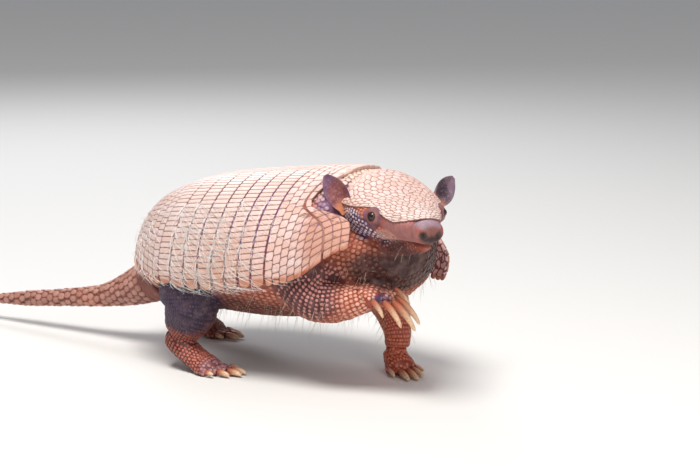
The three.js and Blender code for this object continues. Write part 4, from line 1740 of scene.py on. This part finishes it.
def leatherMaterial():
    m = Maker("leather", coatTones)
    m.colour = regionColour(m, 2, m.tone("skin"))
    for name, side in (("right", -1), ("left", 1)):
        m.patches(cheekPatches, lambda x, y, z: headSpot(x, y * side, z))
        eye = headToModel @ eyeFrame(name)[0]
        m.lay(m.near(eye, (0.0098,) * 3, 0.75, 1.15, m.wobbled(300, 0.003)), "eyeRim")
        m.lay(m.near(eye, (0.0062,) * 3, 0.85, 1.1), "lid")
        m.lay(m.near(eye, (0.0051,) * 3, 0.9, 1.05), "lidEdge")
        middle = earMiddle(name)
        onEar = m.near(toModel(middle), (0.024,) * 3, 0.8, 1.0)
        m.lay(onEar, name + "Ear")
        inner = headPlace.to_3x3() @ Vector(ears[name]["facing"]).normalized()
        root = headPlace @ Vector((ears["root"][0], side * ears["root"][1], ears["root"][2]))
        hollow = toModel(root + (middle - root) * 0.95 + inner * 1.5)
        m.lay(m.near(hollow, (0.0105, 0.0105, 0.016), 0.6, 1.0), name + "Hollow")
        spots = m.math("MULTIPLY", m.spread(m.noise(650, 3, 0.6), 0.5, 0.68), onEar)
        m.lay(spots, "earSpots", 0.4)
        m.lay(m.near(toModel(root), (0.010,) * 3, 0.5, 1.2), "earRoot")
    m.patches(nosePatches, headSpot)
    crack = m.spread(m.cells(700, "DISTANCE_TO_EDGE", m.wobbled(500, 0.0015)), 0.0, 0.16)
    m.lay(m.math("SUBTRACT", 1.0, crack), m.mix(0.7, m.colour, m.tone("crack")), 0.3)
    # painted shade in the mouth's line, the nostrils and the nose's creases
    m.lay(m.attribute("fold"), "fold", 0.85)
    m.lay(m.spread(m.noise(120, 4, 0.6), 0.4, 0.7), m.mix(0.4, m.colour, m.tone("mottle")), 0.25)
    height = m.math("ADD", crack, m.math("MULTIPLY", m.noise(1300, 4, 0.65), 0.5))
    return m.finish(m.spread(m.noise(200, 3), 0.3, 0.7, 0.45, 0.62), m.bump(height, 0.4, 0.0003))


def earMiddle(side):
    form = earForm(side)
    return (form(0.5, 0) + form(0.5, math.pi)) / 2


scales = scaleMaterial()
skinMesh.materials.append(leatherMaterial())

for name in legs:
    makeScales("scales_" + name, legRoots(name))


def tailRoots():
    return limbRoots(
        tail["line"],
        tail["radius"],
        tail["radius"],
        (0, 1, 0),
        *scaleLook["tail"],
        (0.10, 0.985),
        keep=lambda place, normal: place.x > -0.30,
        slack=3.0,
    )


def bellyRoots():
    roots = []
    inner = lambda share, angle: Vector((formPoint(trunkForm, share, 0).x, 0, trunkForm["axisHeight"](share)))
    outer = lambda share, angle: formPoint(trunkForm, share, angle, outerGap - fleshDepth)
    for side, rim in ((-1, "rimRight"), (1, "rimLeft")):
        angles = lambda share: (side * math.radians(trunkForm[rim](share) + 3), side * math.pi)
        roots += layScales(
            outer, inner, (0.10, 0.80), angles, *scaleLook["belly"], slack=3.0, shapely=1.35
        )
    return roots


def headRoots():
    turned = lambda form, grow: lambda share, angle: headPlace @ formPoint(form, share, angle, grow)
    outer = turned(headForm, outerGap)
    centre = lambda share, angle: headPlace @ Vector((formPoint(headForm, share, 0).x, 0, 4))
    roots = []
    pitch, width = scaleLook["cheek"]

    def size(place):
        return width if (modelToHead @ place).x < 52 else scaleLook["muzzle"]

    def cheek(place, normal):
        p = modelToHead @ place
        if min((p - Vector(eyes[side])).length for side in ("right", "left")) < 11:
            return False
        return p.x < 44 + 0.9 * max(0.0, -2 - p.z) and p.z > -13

    for side in (-1, 1):
        angles = lambda share: (side * math.radians(headForm["rim"](share) + 4), side * math.radians(134))
        chart = (0.0, 0.0, 0.6, 0.6)
        roots += layScales(outer, centre, (0.14, 0.74), angles, pitch, size, cheek, 3.5, chart, 1.2)
    jaw = turned(jawForm, outerGap)
    under = lambda share, angle: headPlace @ Vector((formPoint(jawForm, share, 0).x, 0, -14))
    for side in (-1, 1):
        angles = (side * math.radians(80), side * math.pi)
        chart = (0.0, 0.62, 0.6, 0.35)
        roots += layScales(jaw, under, (0.2, 0.9), angles, *scaleLook["jaw"], None, 3.0, chart, 1.2)
    form = neck["line"], neck["wide"], neck["deep"], (0, 1, 0)
    roots += limbRoots(*form, *scaleLook["neck"], (0.05, 0.97), (0.62, 0.0, 0.36, 0.6))

    def overNape(share, angle):
        skin = napeForm(share, angle)
        return skin + (skin - napeCentre(share)).normalized() * outerGap

    def clear(place, normal):
        return min((place - toModel(earMiddle(side))).length for side in ("right", "left")) > 0.012

    inner = lambda share, angle: napeCentre(share)
    angles = (math.radians(-80), math.radians(110))
    chart = (0.62, 0.62, 0.36, 0.36)
    sizes = scaleLook["nape"]
    roots += layScales(overNape, inner, (0.25, 0.98), angles, *sizes, clear, 3.0, chart, 1.1, 0.07)
    return roots


makeScales("scales_tail", tailRoots())
makeScales("scales_belly", bellyRoots())
makeScales("scales_head", headRoots())
print("stage: scales")

# long hairs on the shell, the belly and the throat

hairLook = {
    "steps": 7,
    "shell": 1150,
    "body": 420,
    "thick": 0.23,  # mm
    "taper": 0.8,
    "shellLength": (14, 38),
    "shellDown": (0.1, 0.75),  # how far a hair runs down the side and ahead, for its length
    "shellAhead": (-0.3, 1.4),
    "shellLift": (0.6, 2.4),
    "bodyLength": (6, 15),
    "kinds": (0.55, 0.575),  # up to the first they grow on the belly, up to the second on the throat
    "bandShares": (0.15, 0.25, 0.4, 0.6, 0.8, 1, 1, 1, 1),  # how many hairs stay, from the front to the rear
}
hairTones = {
    "hairs_shell": {"light": (255, 253, 252), "dark": (240, 232, 228), "sheen": (255, 250, 240)},
    "hairs_body": {"light": (236, 214, 190), "dark": (150, 104, 76), "sheen": (255, 250, 240)},
}


def hairShape():  # a three-sided tube whose height counts the steps
    shape = bmesh.new()
    bmesh.ops.create_circle(shape, cap_ends=True, segments=3, radius=1)
    top = shape.faces[:]
    for _ in range(hairLook["steps"]):
        made = bmesh.ops.extrude_face_region(shape, geom=top)["geom"]
        top = ofKind(made, bmesh.types.BMFace)
        bmesh.ops.translate(shape, verts=ofKind(made, bmesh.types.BMVert), vec=(0, 0, 1))
    height = lambda face: face.calc_center_median().z
    inside = [f for f in shape.faces if len(f.verts) == 3 and 0.5 < height(f) < hairLook["steps"] - 0.5]
    bmesh.ops.delete(shape, geom=inside, context="FACES_ONLY")
    bmesh.ops.recalc_face_normals(shape, faces=shape.faces[:])
    return meshOf(shape, "hairShape")


def makeHairs(name, hairs):  # hairs: points along each hair in the model's frame, thickness in mm, u, v
    shape = hairShape()
    local = [tuple(v.co) for v in shape.vertices]
    mesh = manyOf(shape, len(hairs))
    mesh.name = name
    coords, tints = [], []
    last = hairLook["steps"]
    for points, thick, u, v in hairs:
        frames = []
        for i, point in enumerate(points):
            along = (points[min(i + 1, last)] - points[max(i - 1, 0)]).normalized()
            side = along.cross(Vector((0.3, 0.2, 0.93))).normalized()
            radius = thick * mm * (1 - hairLook["taper"] * (i / last) ** 1.5)
            frames.append((point, side, along.cross(side).normalized(), radius))
        tint = dice.random()
        for x, y, z in local:
            point, side, up, radius = frames[round(z)]
            coords.extend(point + side * (x * radius) + up * (y * radius))
            tints.append(tint)
    mesh.vertices.foreach_set("co", coords)
    mesh.attributes.new("tint", "FLOAT", "POINT").data.foreach_set("value", tints)
    bakePatches(mesh, [(x, z / last) for x, y, z in local], [hair[2:4] for hair in hairs])
    piece = smoothPiece(name, mesh, hairMaterial(name))
    print(name, len(hairs))


def hairMaterial(name):
    m = Maker(name, hairTones[name])
    m.colour = m.mix(m.attribute("tint"), m.tone("light"), m.tone("dark"))
    # painted sheen: pale spots along the hairs
    m.lay(m.noise(400), "sheen", 0.2)
    return m.finish(0.4, m.bump(m.noise(2500), 0.2, 0.0001))


def shellHairs():
    hairs = []
    while len(hairs) < hairLook["shell"]:
        band = dice.randrange(9)
        x = shell["firstBand"] - band * shell["bandPitch"] + dice.uniform(-0.6, 0.6)
        if band == 8:
            x = dice.uniform(-112, -60)
        if dice.random() > hairLook["bandShares"][band]:
            continue
        half = dice.choice((-1, 1))
        start = 1 - dice.random() ** 0.8 * 0.62
        length = dice.uniform(*hairLook["shellLength"]) * (0.7 + 0.3 * start)
        down = length / 92 * dice.uniform(*hairLook["shellDown"])
        ahead = length * dice.uniform(*hairLook["shellAhead"])
        lift = dice.uniform(*hairLook["shellLift"])
        down = min(down, 1.045 - start + dice.uniform(-0.02, 0.03))
        points = []
        for i in range(hairLook["steps"] + 1):
            t = i / hairLook["steps"]
            side = start + down * t * (0.6 + 0.4 * t)
            at = x + ahead * t * (0.7 + 0.5 * t) + 1.5 * math.sin(4 * t + start * 40) * t
            grow = 1.2 + lift * math.sin(math.pi * min(t * 1.1, 1)) * 0.8 - 1.4 * (1 - t) ** 3
            point = shellPoint(min(max(at, -119), 120), half * min(side, 1.0), grow)
            if side > 1:
                point.z -= (side - 1) * 75 * mm
            points.append(point)
        u = shareAt(x)
        hairs.append((points, hairLook["thick"] * dice.uniform(0.75, 1.2), u, 0.5 + 0.5 * half * start))
    return hairs


def bodyHairs():
    hairs = []
    while len(hairs) < hairLook["body"]:
        kind = dice.random()
        if kind < hairLook["kinds"][0]:
            share = dice.uniform(0.14, 0.86)
            side = dice.choice((-1, 1))
            rim = trunkForm["rimRight" if side < 0 else "rimLeft"](share)
            angle = math.radians(dice.uniform(rim + 4, 175)) * side
            outer = formPoint(trunkForm, share, angle, outerGap)
            inner = Vector((outer.x, 0, trunkForm["axisHeight"](share)))
            u, v = share, 0.5 + angle / 7
        elif kind < hairLook["kinds"][1]:
            share = dice.uniform(0.1, 0.85)
            angle = math.radians(dice.uniform(95, 265))
            outer = headPlace @ formPoint(jawForm, share, angle, outerGap)
            inner = headPlace @ Vector((formPoint(jawForm, share, 0).x, 0, -12))
            u, v = share, angle / 7
        else:
            leg = legs[dice.choice(list(legs))]
            share, angle = dice.uniform(0.25, 0.85), dice.uniform(*full)
            outer = limbForm(leg["line"], leg["wide"], leg["deep"], grow=outerGap)(share, angle)
            inner = smoothLine(leg["line"])(share)[0]
            u, v = share, angle / 7
        place, normal = castTo(toModel(outer), toModel(inner))
        bare = place and place.x < 0.06 and place.y < -0.03 and place.z < 0.095
        if place is None or place.z < 0.02 or bare:
            continue
        length = dice.uniform(*hairLook["bodyLength"])
        away = (normal * 0.6 + Vector((dice.uniform(-0.7, 0.2), dice.uniform(-0.3, 0.3), -0.75))).normalized()
        bend = Vector((dice.uniform(-0.4, 0.4), dice.uniform(-0.3, 0.3), -0.6))
        points = []
        for i in range(hairLook["steps"] + 1):
            t = i / hairLook["steps"]
            points.append(place - normal * 0.4 * mm + (away * t + bend * t * t * 0.5) * length * mm)
        if min(p.z for p in points) < 0.002:
            continue
        hairs.append((points, hairLook["thick"] * dice.uniform(0.5, 0.8), u, v % 1))
    return hairs


makeHairs("hairs_shell", shellHairs())
makeHairs("hairs_body", bodyHairs())
print("stage: hairs")
